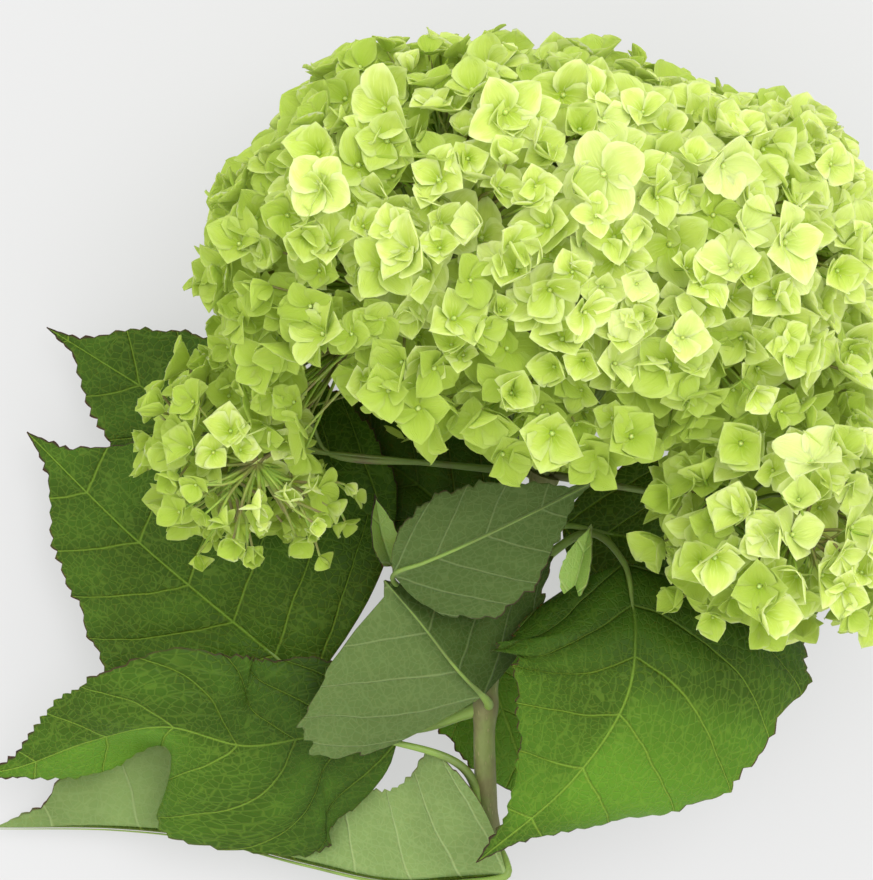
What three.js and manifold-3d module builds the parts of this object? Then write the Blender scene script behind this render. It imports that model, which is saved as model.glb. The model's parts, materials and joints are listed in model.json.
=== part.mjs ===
// A cut mophead hydrangea, lying on its side on a flat surface as it does on a florist's bench: one
// green-brown stem with its leaves on leaf stalks, and a domed head of four-petalled florets with a
// smaller side head on either side of its neck. The florets stand in cushions, each on its own stalk.
//
// Millimetres. X runs to the right, Y along the stem towards the flower, and Z up from the surface.
import * as THREE from "three";
import Module from "manifold-3d";
import { mergeVertices } from "three/addons/utils/BufferGeometryUtils.js";

const wasm = await Module();
wasm.setup();

// ---------------------------------------------------------------- driving dimensions

const CLEARANCE = 0.35; // air between one solid and the next
const ON_SURFACE = 0.3; // least height of a leaf's underside above the surface it lies on

const stem = {
  diameter: 7.6, // at the cut end
  neckDiameter: 6.2, // under the flower head
  swelling: 1.22, // how much thicker the stem is at a leaf joint
  cutToFirstJoint: 118,
  firstInternode: 39, // lowest leaf joint to the middle one
  secondInternode: 36, // middle leaf joint to the top one
  neck: 36, // top leaf joint to the fork under the head
  bow: [3, 0.6, 0, 6, 18], // how far right it lies at its cut end, at the three leaf joints and at the fork
  sides: 10,
  steps: 24,
};

const head = {
  width: 212,
  height: 150, // along the stem
  depth: 172, // before it is pressed flat where it lies
  fullness: 2.4, // 2 is an ellipsoid, and more gives it squarer shoulders
  pressed: 10, // how much of the depth is flattened by lying on it
  overhang: 13, // how far the head's lowest point lies below the fork, along the stem
  lean: -2, // the head's middle lies this far to the right of the fork
  above: 16, // and this far above it
  cushions: 30, // over the whole ball, the open underside included
};

// The side heads' middles, as shares of the main head's half sizes from its middle.
const sideHeads = [
  { name: "left", share: [-0.81, -0.73, -0.06], diameter: 76, cushions: 6 },
  { name: "right", share: [0.7, -1.01, 0.2], diameter: 84, cushions: 7 },
];

const cushion = {
  thickness: 14, // petal tips to where the floret stalks meet
  crown: 0.07, // how far a cushion's middle stands proud, as a share of the head's half size
  openBelow: -0.78, // no cushion where the head's axis and the cushion's direction have this cosine
  tilt: 0.6, // turns the spiral of cushions about the head's axis, in radians
};

const stalk = {
  bundles: 5, // main branches under the head
  diameter: 2.9, // of a main branch where it leaves the fork
  twigDiameter: 1.7, // of the branch to one cushion
  seat: 3, // how deep a twig reaches into its cushion
  ring: 3.3, // radius of the ring on which the branches leave the stem
  fork: 0.46, // share of the way to its cushions at which a branch divides
  sides: 5,
};

const leafSheet = {
  thickness: 1.1,
  stalkDiameter: 3.4, // leaf stalk, at the stem
  stalkTipDiameter: 2, // and in the blade
  intoBlade: 0.16, // share of the blade's length that the stalk runs into
  tip: 0.08, // share of the blade's length in its drawn-out tip
  roundness: 0.55, // 1 is a wedge-shaped base, and less makes it rounder
  atBase: 0.12, // half width at the very base, as a share of the widest
  atTip: 0.03, // and at the very tip
  along: 11, // facets from base to tip
  across: 4, // facets from edge to edge
  stalkSteps: 6,
  sides: 5,
};

// The midrib is given from base to tip, from the stem joint that the leaf grows from, and faces is where
// the upper side looks at the base and at the tip. The other values have one list for the left and one for
// the right half of the blade, seen from the base with the upper side up, evenly spaced from base to tip:
// its greatest width, how many degrees it is raised from flat, and how much further it curls at its edge.
// Broadest is the share of the length at which the blade is widest.
const LEAVES = [
  {
    name: "leaf_back_left", joint: 2, broadest: 0.4,
    midrib: [[-36, 15, -17], [-68, 33, -23], [-104, 57, -31], [-144, 82, -37]],
    faces: [[0.1, -0.1, 1], [-0.2, 0.1, 1]],
    half: [[31], [33]], raised: [[8], [10]], curl: [-16, -20],
  },
  {
    name: "leaf_left", joint: 1, broadest: 0.36,
    midrib: [[-54, 6, -10], [-80, 27, -12], [-110, 52, -18], [-144, 85, -26]],
    faces: [[0, -0.1, 1], [-0.2, 0, 1]],
    half: [[38], [46]], raised: [[8], [6]], curl: [-22, -18],
  },
  {
    name: "leaf_lower_left", joint: 0, broadest: 0.36,
    midrib: [[-28, 28, 12], [-51, 30, 14], [-75, 27, 11], [-99, 33, 14], [-123, 28, 4], [-147, 19, -8],
      [-163, 16, -14]],
    faces: [[0, 0, 1], [0, -0.2, 1]],
    half: [[42, 43, 40, 26, 34, 34], [27]],
    raised: [[-16, -22, -20, -58, -24, -10], [10, 15, 15, 25, 10, 0]], curl: [-12, -20],
  },
  {
    name: "leaf_bottom", joint: 0, broadest: 0.4,
    midrib: [[6, -13, 8], [-28, -16, -4], [-57, -11, -12], [-87, -4, -18], [-117, -1, -22], [-155, -1, -26]],
    faces: [[0, 1, 0], [0, 1, 0]],
    half: [[72, 30, 30, 37, 42], [24]], raised: [[76, 82, 82, 78], [62]], curl: [4, 4],
  },
  {
    name: "leaf_middle", joint: 1, broadest: 0.5,
    midrib: [[-1, 4, 9], [-10, 14, 20], [-20, 27, 27], [-31, 40, 29]],
    faces: [[-0.1, 0.4, -0.9], [-0.2, 0.1, -1]],
    half: [[38], [50]], raised: [[8], [-2]], curl: [12, 8],
  },
  {
    name: "leaf_upper_middle", joint: 1, broadest: 0.36,
    midrib: [[-28, 42, 37], [-9, 50, 44], [12, 60, 46], [32, 70, 42]],
    faces: [[0, 0.1, -1], [0, 0.2, -1]],
    half: [[25], [17]], raised: [[12], [16]], curl: [6, 6],
  },
  {
    name: "leaf_front_right", joint: 2, broadest: 0.32,
    midrib: [[36, 9, 11], [39, -12, 23], [36, -32, 25], [20, -57, 17], [-9, -83, 4]],
    faces: [[0, 0.2, 1], [-0.1, -0.4, 1]],
    half: [[60, 58, 44, 30], [38]], raised: [[-4], [-2]], curl: [-40, -26],
  },
  {
    name: "leaf_back_middle", joint: 2, broadest: 0.4,
    midrib: [[-6, 12, -9], [-24, 30, -19], [-42, 44, -27], [-64, 63, -35]],
    faces: [[0, 0, 1], [0, 0, 1]],
    half: [[25], [22]], raised: [[8], [8]], curl: [-10, -10],
  },
  {
    name: "leaf_right", joint: 2, broadest: 0.4,
    midrib: [[18, 20, -9], [52, 14, -21], [90, 8, -33], [126, 4, -42]],
    faces: [[0, 0, 1], [0.2, 0, 1]],
    half: [[27], [27]], raised: [[8], [8]], curl: [-12, -12],
  },
  {
    name: "leaf_behind_stem", joint: 2, broadest: 0.4,
    midrib: [[-10, -10, -17], [-4, -28, -25], [3, -48, -33], [11, -72, -41]],
    faces: [[0, 0, 1], [0, 0, 1]],
    half: [[20], [20]], raised: [[6], [6]], curl: [-8, -8],
  },
  {
    name: "young_leaf_left", joint: 2, broadest: 0.4,
    midrib: [[-35, 8, -2], [-38, 18, 4], [-40, 30, 6]],
    faces: [[0.3, 0, 1], [0.3, 0, 1]],
    half: [[5], [5]], raised: [[30], [30]], curl: [0, 0],
  },
  {
    name: "young_leaf_right", joint: 2, broadest: 0.4,
    midrib: [[20, -2, 10], [23, 9, 12], [26, 21, 13]],
    faces: [[-0.4, 0, 1], [-0.4, 0, 1]],
    half: [[6], [6]], raised: [[40], [40]], curl: [0, 0],
  },
];

const material = (color, roughness) => new THREE.MeshStandardMaterial({ color, roughness, metalness: 0 });
const STEM_MATERIAL = material(0x8a8f55, 0.6);
const STALK_MATERIAL = material(0xa9bf5a, 0.6);
const LEAF_MATERIAL = material(0x4f7d2a, 0.5);
const YOUNG_LEAF_MATERIAL = material(0x93b84e, 0.55);
const PETAL_MATERIAL = material(0xc3dc62, 0.65);

// ---------------------------------------------------------------- solids

const V = (x, y, z) => new THREE.Vector3(x, y, z);
const { lerp, degToRad, smoothstep } = THREE.MathUtils;

// A closed three.js geometry as a solid that can be cut and joined.
function solidOf(geometry) {
  const bare = geometry.clone();
  bare.deleteAttribute("normal");
  bare.deleteAttribute("uv");
  const merged = mergeVertices(bare, 1e-3);
  const triVerts = new Uint32Array(merged.index.array);
  const mesh = new wasm.Mesh({ numProp: 3, vertProperties: merged.attributes.position.array, triVerts });
  return new wasm.Manifold(mesh);
}

function geometryOf(solid) {
  const { vertProperties, triVerts } = solid.getMesh();
  const geometry = new THREE.BufferGeometry();
  geometry.setAttribute("position", new THREE.BufferAttribute(vertProperties, 3));
  geometry.setIndex(new THREE.BufferAttribute(triVerts, 1));
  geometry.computeVertexNormals();
  return geometry;
}

// Moves every vertex of a geometry to where the function puts it.
function reshape(geometry, place) {
  const position = geometry.getAttribute("position");
  for (let i = 0; i < position.count; i++) {
    const at = place(position.getX(i), position.getY(i), position.getZ(i));
    position.setXYZ(i, at.x, at.y, at.z);
  }
  return geometry;
}

// A round bar along a curve, its radius a function of the share of the way along it.
function bar(curve, radius, sides, steps) {
  const frames = curve.computeFrenetFrames(steps);
  const shape = new THREE.CylinderGeometry(1, 1, 1, sides, steps);
  return solidOf(reshape(shape, (x, y, z) => {
    const step = Math.round((0.5 - y) * steps);
    const share = step / steps;
    return curve.getPointAt(share)
      .addScaledVector(frames.normals[step], x * radius(share))
      .addScaledVector(frames.binormals[step], z * radius(share));
  }));
}

// The value at a share of the way along a list of evenly spaced values, eased from one to the next.
function along(list, share) {
  const at = share * (list.length - 1);
  const before = Math.min(Math.floor(at), list.length - 2);
  return list.length === 1 ? list[0] : lerp(list[before], list[before + 1], smoothstep(at - before, 0, 1));
}

// ---------------------------------------------------------------- where things are

const headMiddle = V(0, 0, head.depth / 2 - head.pressed);
const firstJointY = -stem.firstInternode;
const topJointY = stem.secondInternode;
const forkY = topJointY + stem.neck;
const cutEndY = firstJointY - stem.cutToFirstJoint;
const forkZ = headMiddle.z - head.above;

// The stem lies in a straight slope from its cut end, on the surface, up to the fork.
const stemHeight = (y) => lerp(stem.diameter / 2, forkZ, (y - cutEndY) / (forkY - cutEndY));
const onStem = (x, y) => V(x, y, stemHeight(y));
const route = [cutEndY, firstJointY, 0, topJointY, forkY].map((y, i) => onStem(stem.bow[i], y));
const stemCurve = new THREE.CatmullRomCurve3(route);
const joints = route.slice(1, 4);
const fork = route[4];
headMiddle.x = fork.x + head.lean;
headMiddle.y = fork.y + head.height / 2 - head.overhang;

const headHalf = V(head.width, head.height, head.depth).divideScalar(2);
const mainHead = { name: "head", middle: headMiddle, half: headHalf, bundles: stalk.bundles };
mainHead.cushions = head.cushions;
const heads = [mainHead];
for (const side of sideHeads) {
  const middle = headHalf.clone().multiply(V(...side.share)).add(headMiddle);
  const half = V(1, 1, 1).multiplyScalar(side.diameter / 2);
  heads.push({ name: side.name, middle, half, cushions: side.cushions, bundles: 1 });
}

// ---------------------------------------------------------------- stem

// A bar that thickens at each leaf joint, and again at the fork so that the flower stalks have room.
function stemSolid(grow) {
  const length = stemCurve.getLength();
  const jointShares = joints.map((joint) => (joint.y - cutEndY) / (forkY - cutEndY));
  const radius = (share) => {
    const plain = lerp(stem.diameter, stem.neckDiameter, share) / 2;
    const nearest = Math.min(...jointShares.map((joint) => Math.abs(share - joint) * length));
    const swollen = plain * lerp(stem.swelling, 1, smoothstep(nearest, 0, stem.diameter));
    const atFork = 1 - smoothstep((1 - share) * length, 0, stem.diameter);
    return swollen + (atFork * stalk.ring) / 2 + grow;
  };
  return bar(stemCurve, radius, stem.sides, stem.steps);
}

// ---------------------------------------------------------------- leaves

// The blade's half width at a share of its length, as a share of its widest. The blade rises from a rounded
// base and falls so that its widest place is smooth, and then runs out in a narrow pointed tip.
function outline(share, broadest) {
  const body = Math.min(share / (1 - leafSheet.tip), 1);
  const rise = (body / broadest) ** leafSheet.roundness;
  const fall = ((1 - body) / (1 - broadest)) ** ((leafSheet.roundness * (1 - broadest)) / broadest);
  return Math.max(rise * fall, share < broadest ? leafSheet.atBase : 1 - share, leafSheet.atTip);
}

function leafFrame(leaf) {
  const from = joints[leaf.joint];
  const curve = new THREE.CatmullRomCurve3(leaf.midrib.map((offset) => V(...offset).add(from)));
  const [atBase, atTip] = leaf.faces.map((face) => V(...face).normalize());
  return (share) => {
    const at = curve.getPointAt(share);
    const ahead = curve.getTangentAt(share);
    const right = ahead.clone().cross(atBase.clone().lerp(atTip, share)).normalize();
    return { at, ahead, right, up: right.clone().cross(ahead) };
  };
}

// A point of the blade: share along it, -1 to 1 across it, and how far above its middle sheet. A blade that
// would reach below the surface lies on it instead.
function bladePoint(leaf, frame, share, across, above, grow) {
  const { at, right, up } = frame(share);
  const side = across < 0 ? 0 : 1;
  const reach = Math.abs(across);
  const turn = degToRad(along(leaf.raised[side], share) + (leaf.curl[side] * reach) / 2);
  const slope = degToRad(along(leaf.raised[side], share) + leaf.curl[side] * reach) * Math.sign(reach);
  const width = reach * (along(leaf.half[side], share) * outline(share, leaf.broadest) + grow);
  const outwards = right.clone().multiplyScalar(Math.sign(across) || 1);
  at.addScaledVector(outwards, width * Math.cos(turn)).addScaledVector(up, width * Math.sin(turn));
  at.z = Math.max(at.z, leafSheet.thickness / 2 + ON_SURFACE);
  return at.addScaledVector(up, above * Math.cos(slope)).addScaledVector(outwards, -above * Math.sin(slope));
}

// The blade, and the stalk that leaves the joint, lines up with the midrib and runs on into the blade.
function leafSolid(leaf, grow) {
  const frame = leafFrame(leaf);
  const half = leafSheet.thickness / 2 + grow;
  const box = new THREE.BoxGeometry(2, 2, 1, leafSheet.across, 1, leafSheet.along);
  const blade = solidOf(reshape(box, (x, y, z) => bladePoint(leaf, frame, 0.5 - z, x, y * half, grow)));

  const base = frame(0);
  const joint = joints[leaf.joint];
  const leadIn = base.at.clone().addScaledVector(base.ahead, -0.45 * base.at.distanceTo(joint));
  const inBlade = frame(leafSheet.intoBlade).at;
  const stalkCurve = new THREE.CatmullRomCurve3([joint, leadIn.lerp(joint, 0.25), base.at, inBlade]);
  const radius = (share) => lerp(leafSheet.stalkDiameter, leafSheet.stalkTipDiameter, share) / 2 + grow;
  return blade.add(bar(stalkCurve, radius, leafSheet.sides, leafSheet.stalkSteps));
}

// ---------------------------------------------------------------- flower heads

// Directions spread evenly over a ball, in a spiral about its Y axis.
function spiral(count) {
  const golden = Math.PI * (3 - Math.sqrt(5));
  return Array.from({ length: count }, (_, i) => {
    const y = 1 - (2 * (i + 0.5)) / count;
    const ring = Math.sqrt(1 - y * y);
    return V(ring * Math.cos(i * golden + cushion.tilt), y, ring * Math.sin(i * golden + cushion.tilt));
  });
}

// Where a direction meets the head, for a head that reaches 1 each way: an ellipsoid with fuller shoulders.
function onHead(x, y, z) {
  const power = (value) => Math.abs(value) ** head.fullness;
  return V(x, y, z).divideScalar((power(x) + power(y) + power(z)) ** (1 / head.fullness));
}

for (const one of heads) {
  one.sites = spiral(one.cushions).map((direction) => ({
    direction,
    at: onHead(...direction).multiply(one.half).add(one.middle),
    open: direction.y < cushion.openBelow,
  }));
}

// The whole head as a hollow ball of even wall, every cushion's middle standing a little proud, pressed flat
// where it would reach below the surface.
function headShell(one) {
  const halfCushion = Math.sqrt(4 / one.cushions);
  const ball = new THREE.IcosahedronGeometry(1, Math.ceil(Math.sqrt(0.8 * one.cushions)));
  const outside = reshape(ball, (x, y, z) => {
    const direction = V(x, y, z);
    const nearest = Math.min(...one.sites.map((site) => site.direction.distanceTo(direction)));
    const proud = 1 - cushion.crown * Math.min((nearest / halfCushion) ** 2, 1);
    return onHead(x, y, z).multiplyScalar(proud).multiply(one.half).add(one.middle);
  });
  const innerHalf = one.half.clone().subScalar(cushion.thickness);
  const core = new THREE.IcosahedronGeometry(1, 2);
  const inside = reshape(core, (x, y, z) => onHead(x, y, z).multiply(innerHalf).add(one.middle));
  return solidOf(outside).subtract(solidOf(inside)).trimByPlane([0, 0, 1], 0);
}

// A cushion is the part of its head's shell that is nearer to its own middle than to any other's.
function cushionSolid(one, shell, site, neighbours) {
  return neighbours.reduce((solid, other) => {
    const away = site.at.clone().sub(other.at).normalize();
    const halfway = site.at.clone().add(other.at).multiplyScalar(0.5);
    return solid.trimByPlane(away.toArray(), away.dot(halfway) + CLEARANCE / 2);
  }, shell);
}

// ---------------------------------------------------------------- stalks

// The cushions of each head, shared out among its main branches by their bearing about the head's axis.
function bundlesOf(one) {
  const made = one.sites.filter((site) => !site.open);
  const turn = (site) => Math.atan2(site.direction.z, site.direction.x) / (2 * Math.PI) + 0.5;
  const bundle = (site) => Math.min(Math.floor(turn(site) * one.bundles), one.bundles - 1);
  return Array.from({ length: one.bundles }, (_, i) => made.filter((site) => bundle(site) === i));
}

// A main branch that divides once, into a twig for each of its cushions.

function stalkSolid(sites, start, grow) {
  const middle = sites.reduce((sum, site) => sum.add(site.at), V(0, 0, 0)).divideScalar(sites.length);
  const hub = start.clone().lerp(middle, stalk.fork);
  const twigRadius = stalk.twigDiameter / 2 + grow;
  const mainRadius = (share) => lerp(stalk.diameter, stalk.twigDiameter, share) / 2 + grow;
  const branch = bar(new THREE.LineCurve3(start, hub), mainRadius, stalk.sides, 2);
  return sites.reduce((solid, site) => {
    const inwards = hub.clone().sub(site.at).normalize();
    const end = site.at.clone().addScaledVector(inwards, cushion.thickness - stalk.seat);
    return solid.add(bar(new THREE.LineCurve3(hub, end), () => twigRadius, stalk.sides, 1));
  }, branch);
}

// ---------------------------------------------------------------- the whole flower

// Whether two boxes come within the clearance of each other.
function near(a, b) {
  const within = (k) => a.min[k] <= b.max[k] + CLEARANCE && b.min[k] <= a.max[k] + CLEARANCE;
  return [0, 1, 2].every(within);
}

// Pieces in the order in which they give way: a later piece is cut to clear every earlier one, and a scrap
// that the cut leaves on the far side goes with it.
const pieces = [];
function addPiece(name, surface, make) {
  let solid = make(0);
  for (const earlier of pieces) {
    if (near(solid.boundingBox(), earlier.solid.boundingBox())) solid = solid.subtract(earlier.make(CLEARANCE));
  }
  const largest = solid.decompose().sort((a, b) => b.volume() - a.volume())[0];
  pieces.push({ name, surface, make, solid: largest });
}

addPiece("stem", STEM_MATERIAL, stemSolid);
const branches = heads.flatMap((one) => bundlesOf(one).map((sites) => ({ one, sites })));
branches.forEach(({ one, sites }, i) => {
  const turn = (2 * Math.PI * i) / branches.length;
  const start = fork.clone().add(V(Math.cos(turn), 0, Math.sin(turn)).multiplyScalar(stalk.ring));
  const name = one === mainHead ? `flower_stalk_${i + 1}` : `flower_stalk_${one.name}`;
  addPiece(name, STALK_MATERIAL, (grow) => stalkSolid(sites, start, grow));
});
for (const leaf of LEAVES) {
  const surface = leaf.name.startsWith("young") ? YOUNG_LEAF_MATERIAL : LEAF_MATERIAL;
  addPiece(leaf.name, surface, (grow) => leafSolid(leaf, grow));
}
const allSites = heads.flatMap((one) => one.sites.filter((site) => !site.open));
for (const one of heads) {
  const shell = headShell(one);
  const own = one.sites.filter((site) => !site.open);
  own.forEach((site, i) => {
    const others = new Set([...one.sites, ...allSites]);
    others.delete(site);
    const name = `florets_${one.name}_${String(i + 1).padStart(2, "0")}`;
    addPiece(name, PETAL_MATERIAL, () => cushionSolid(one, shell, site, [...others]));
  });
}

// The origin is on the surface that the flower lies on, under the middle of its box.
const flower = new THREE.Group();
for (const piece of pieces) {
  const mesh = new THREE.Mesh(geometryOf(piece.solid), piece.surface);
  mesh.name = piece.name;
  flower.add(mesh);
}
const size = new THREE.Box3().setFromObject(flower);
const middle = size.getCenter(V(0, 0, 0));
for (const mesh of flower.children) mesh.position.set(-middle.x, -middle.y, -size.min.z);

export default flower;
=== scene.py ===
import json
import math

import bpy
import numpy as np
from mathutils import Matrix, Vector, noise

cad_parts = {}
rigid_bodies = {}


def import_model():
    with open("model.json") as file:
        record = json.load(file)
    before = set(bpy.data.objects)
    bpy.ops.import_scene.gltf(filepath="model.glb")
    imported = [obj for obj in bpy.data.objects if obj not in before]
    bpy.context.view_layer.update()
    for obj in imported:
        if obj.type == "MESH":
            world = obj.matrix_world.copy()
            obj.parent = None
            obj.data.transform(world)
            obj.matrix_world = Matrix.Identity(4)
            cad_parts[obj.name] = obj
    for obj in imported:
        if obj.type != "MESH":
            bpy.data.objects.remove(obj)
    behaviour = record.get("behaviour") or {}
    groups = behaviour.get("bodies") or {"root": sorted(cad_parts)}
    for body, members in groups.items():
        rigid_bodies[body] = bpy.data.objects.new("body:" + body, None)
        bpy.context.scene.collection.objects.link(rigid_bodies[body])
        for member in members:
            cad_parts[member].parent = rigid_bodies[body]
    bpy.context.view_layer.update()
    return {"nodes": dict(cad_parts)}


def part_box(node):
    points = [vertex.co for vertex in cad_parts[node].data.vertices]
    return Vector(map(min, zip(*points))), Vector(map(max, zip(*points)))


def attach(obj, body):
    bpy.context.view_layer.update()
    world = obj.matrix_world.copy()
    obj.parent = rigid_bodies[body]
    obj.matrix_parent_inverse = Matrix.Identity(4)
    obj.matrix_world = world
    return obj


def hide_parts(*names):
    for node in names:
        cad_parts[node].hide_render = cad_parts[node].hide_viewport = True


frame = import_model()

# ---------------------------------------------------------------- stem
# A green shoot that has begun to turn woody, about as thick as a pencil. It swells at each leaf joint and
# under the head, is flecked with small corky pores, and ends below in a clean slanting cut.
MM = 0.001
STEM_MM = {"cut": 7.6, "neck": 6.2, "swelling": 1.22, "fork_flare": 1.65}
STEM_ROUTE_MM = [(3, -157), (0.6, -39), (0, 0), (6, 36), (18, 72)]
STEM_END_HEIGHT_MM = (3.8, 60)
STEM_GREEN = (104, 118, 58)
STEM_BROWN = (98, 92, 56)
STEM_FIBRE = (150, 158, 96)
STEM_PORE = (160, 150, 104)


def linear(red, green, blue):
    """A colour given as 0-255 screen values, as the shaders want it."""
    def channel(value):
        value = value / 255
        return value / 12.92 if value <= 0.04045 else ((value + 0.055) / 1.055) ** 2.4
    return (channel(red), channel(green), channel(blue), 1.0)


def smooth_route(points, count):
    """Points and directions evenly spaced along a smooth curve through a few points."""
    p = [np.array(point, float) for point in points]
    p = [2 * p[0] - p[1]] + p + [2 * p[-1] - p[-2]]
    fine = []
    for a, b, c, d in zip(p, p[1:], p[2:], p[3:]):
        before, between, after = (math.sqrt(np.linalg.norm(q - r)) for q, r in ((b, a), (c, b), (d, c)))
        lead_in = ((b - a) / before - (c - a) / (before + between) + (c - b) / between) * between
        lead_out = ((c - b) / between - (d - b) / (between + after) + (d - c) / after) * between
        for t in np.linspace(0, 1, 60, endpoint=False):
            cubic = (2 * b - 2 * c + lead_in + lead_out) * t**3
            fine.append(b + lead_in * t + (3 * c - 3 * b - 2 * lead_in - lead_out) * t**2 + cubic)
    fine = np.array(fine + [p[-2]])
    length = np.concatenate([[0], np.cumsum(np.linalg.norm(np.diff(fine, axis=0), axis=1))])
    places = np.linspace(0, length[-1], count)
    even = np.stack([np.interp(places, length, fine[:, k]) for k in range(3)], axis=1)
    ahead = np.gradient(even, axis=0)
    return even, ahead / np.linalg.norm(ahead, axis=1)[:, None]


def group_tree(name, kind, inputs, outputs):
    """A node group with its named sockets."""
    tree = bpy.data.node_groups.new(name, kind)
    for label, socket_type, value in inputs:
        socket = tree.interface.new_socket(label, in_out="INPUT", socket_type=socket_type)
        if value is not None:
            socket.default_value = value
    for label, socket_type in outputs:
        tree.interface.new_socket(label, in_out="OUTPUT", socket_type=socket_type)
    return tree, tree.nodes.new("NodeGroupInput"), tree.nodes.new("NodeGroupOutput")


def add(tree, kind, links=None, **settings):
    """A node with its settings, and its inputs linked or set by name or number."""
    node = tree.nodes.new(kind)
    for key, value in settings.items():
        setattr(node, key, value)
    for key, value in (links or {}).items():
        if isinstance(value, bpy.types.NodeSocket):
            tree.links.new(value, node.inputs[key])
        else:
            node.inputs[key].default_value = value
    return node


def apply_nodes(piece_object, tree, values):
    """Runs a geometry node tree on an object and keeps the result as its plain mesh."""
    modifier = piece_object.modifiers.new(tree.name, "NODES")
    modifier.node_group = tree
    identifiers = {item.name: item.identifier for item in tree.interface.items_tree if item.in_out == "INPUT"}
    for label, value in values.items():
        modifier[identifiers[label]] = value
    bpy.context.view_layer.update()
    graph = bpy.context.evaluated_depsgraph_get()
    mesh = bpy.data.meshes.new_from_object(piece_object.evaluated_get(graph))
    name = piece_object.name
    bpy.data.objects.remove(piece_object)
    return plain_piece(name, mesh)


def plain_piece(name, mesh):
    """A mesh as an object at the origin."""
    mesh.name = name
    piece_object = bpy.data.objects.new(name, mesh)
    bpy.context.scene.collection.objects.link(piece_object)
    return piece_object


def stands_for(piece_object, slot, *nodes):
    """Seats a finished piece in the frame in place of its plain CAD nodes."""
    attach(piece_object, "root")
    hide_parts(*nodes)


# Sweeps a round section along curves whose points hold the radius, and closes both ends.
shoot_tree, given, result = group_tree(
    "round_shoot", "GeometryNodeTree",
    [("Routes", "NodeSocketGeometry", None), ("Sides", "NodeSocketInt", 12),
     ("Bark", "NodeSocketMaterial", None)],
    [("Shoot", "NodeSocketGeometry")])
section = add(shoot_tree, "GeometryNodeCurvePrimitiveCircle", {
    "Resolution": given.outputs["Sides"], "Radius": 1})
radius = add(shoot_tree, "GeometryNodeInputRadius")
swept = add(shoot_tree, "GeometryNodeCurveToMesh", {
    "Curve": given.outputs["Routes"], "Profile Curve": section.outputs[0], "Scale": radius.outputs[0],
    "Fill Caps": True})
smooth = add(shoot_tree, "GeometryNodeSetShadeSmooth", {"Geometry": swept.outputs[0]})
whole = add(shoot_tree, "GeometryNodeRealizeInstances", {"Geometry": smooth.outputs[0]})
barked = add(shoot_tree, "GeometryNodeSetMaterial", {
    "Geometry": whole.outputs[0], "Material": given.outputs["Bark"]})
shoot_tree.links.new(barked.outputs[0], result.inputs[0])


def shoots(name, routes, sides, bark):
    """One mesh of closed round shoots. Each route is its points and its radius at each, in metres."""
    curve = bpy.data.curves.new(name, "CURVE")
    curve.dimensions = "3D"
    for points, radii in routes:
        spline = curve.splines.new("POLY")
        spline.points.add(len(points) - 1)
        for point, at, thick in zip(spline.points, points, radii):
            point.co = (*at, 1)
            point.radius = thick
    holder = bpy.data.objects.new(name, curve)
    bpy.context.scene.collection.objects.link(holder)
    return apply_nodes(holder, shoot_tree, {"Sides": sides, "Bark": bark})


# Large soft blotches and fine grain, used by every skin of the plant.
mottle, given, result = group_tree(
    "mottle", "ShaderNodeTree",
    [("Blotch size", "NodeSocketFloat", 80.0), ("Grain size", "NodeSocketFloat", 900.0)],
    [("Blotches", "NodeSocketFloat"), ("Grain", "NodeSocketFloat")])
place = add(mottle, "ShaderNodeTexCoord")
blotches = add(mottle, "ShaderNodeTexNoise", {
    "Vector": place.outputs["Object"], "Scale": given.outputs["Blotch size"], "Detail": 3.0})
grain = add(mottle, "ShaderNodeTexNoise", {
    "Vector": place.outputs["Object"], "Scale": given.outputs["Grain size"], "Detail": 2.0})
mottle.links.new(blotches.outputs["Fac"], result.inputs["Blotches"])
mottle.links.new(grain.outputs["Fac"], result.inputs["Grain"])


def mottled(tree, blotch_size, grain_size):
    """The mottle in a material, at that material's own sizes."""
    sizes = {"Blotch size": blotch_size, "Grain size": grain_size}
    return add(tree, "ShaderNodeGroup", sizes, node_tree=mottle).outputs


def new_material(name, **principled):
    """A material with its constants set on the shader's own sockets."""
    material = bpy.data.materials.new(name)
    material.use_nodes = True
    shader = material.node_tree.nodes["Principled BSDF"]
    for key, value in principled.items():
        shader.inputs[key.replace("_", " ")].default_value = value
    return material, material.node_tree, shader


def blend_colours(tree, factor, first, second):
    """The mix of two colours or colour sockets by a factor socket."""
    return add(tree, "ShaderNodeMix", {"Factor": factor, 6: first, 7: second}, data_type="RGBA").outputs[2]


def tint(tree, colour, mask, amount, towards):
    """A colour taken towards another by up to an amount, where a mask is."""
    return blend_colours(tree, maths(tree, "MULTIPLY", mask, amount), colour, linear(*towards))


def ramp(tree, value, low, high):
    """0 below low, 1 above high, and smooth between."""
    return add(tree, "ShaderNodeMapRange", {"Value": value, "From Min": low, "From Max": high},
               interpolation_type="SMOOTHSTEP").outputs[0]


def maths(tree, operation, first, second=0.0, third=0.0):
    return add(tree, "ShaderNodeMath", {0: first, 1: second, 2: third}, operation=operation).outputs[0]


def bump(tree, height, distance, strength=1.0, under=None):
    links = {"Height": height, "Distance": distance, "Strength": strength}
    if under is not None:
        links["Normal"] = under
    return add(tree, "ShaderNodeBump", links).outputs["Normal"]


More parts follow.
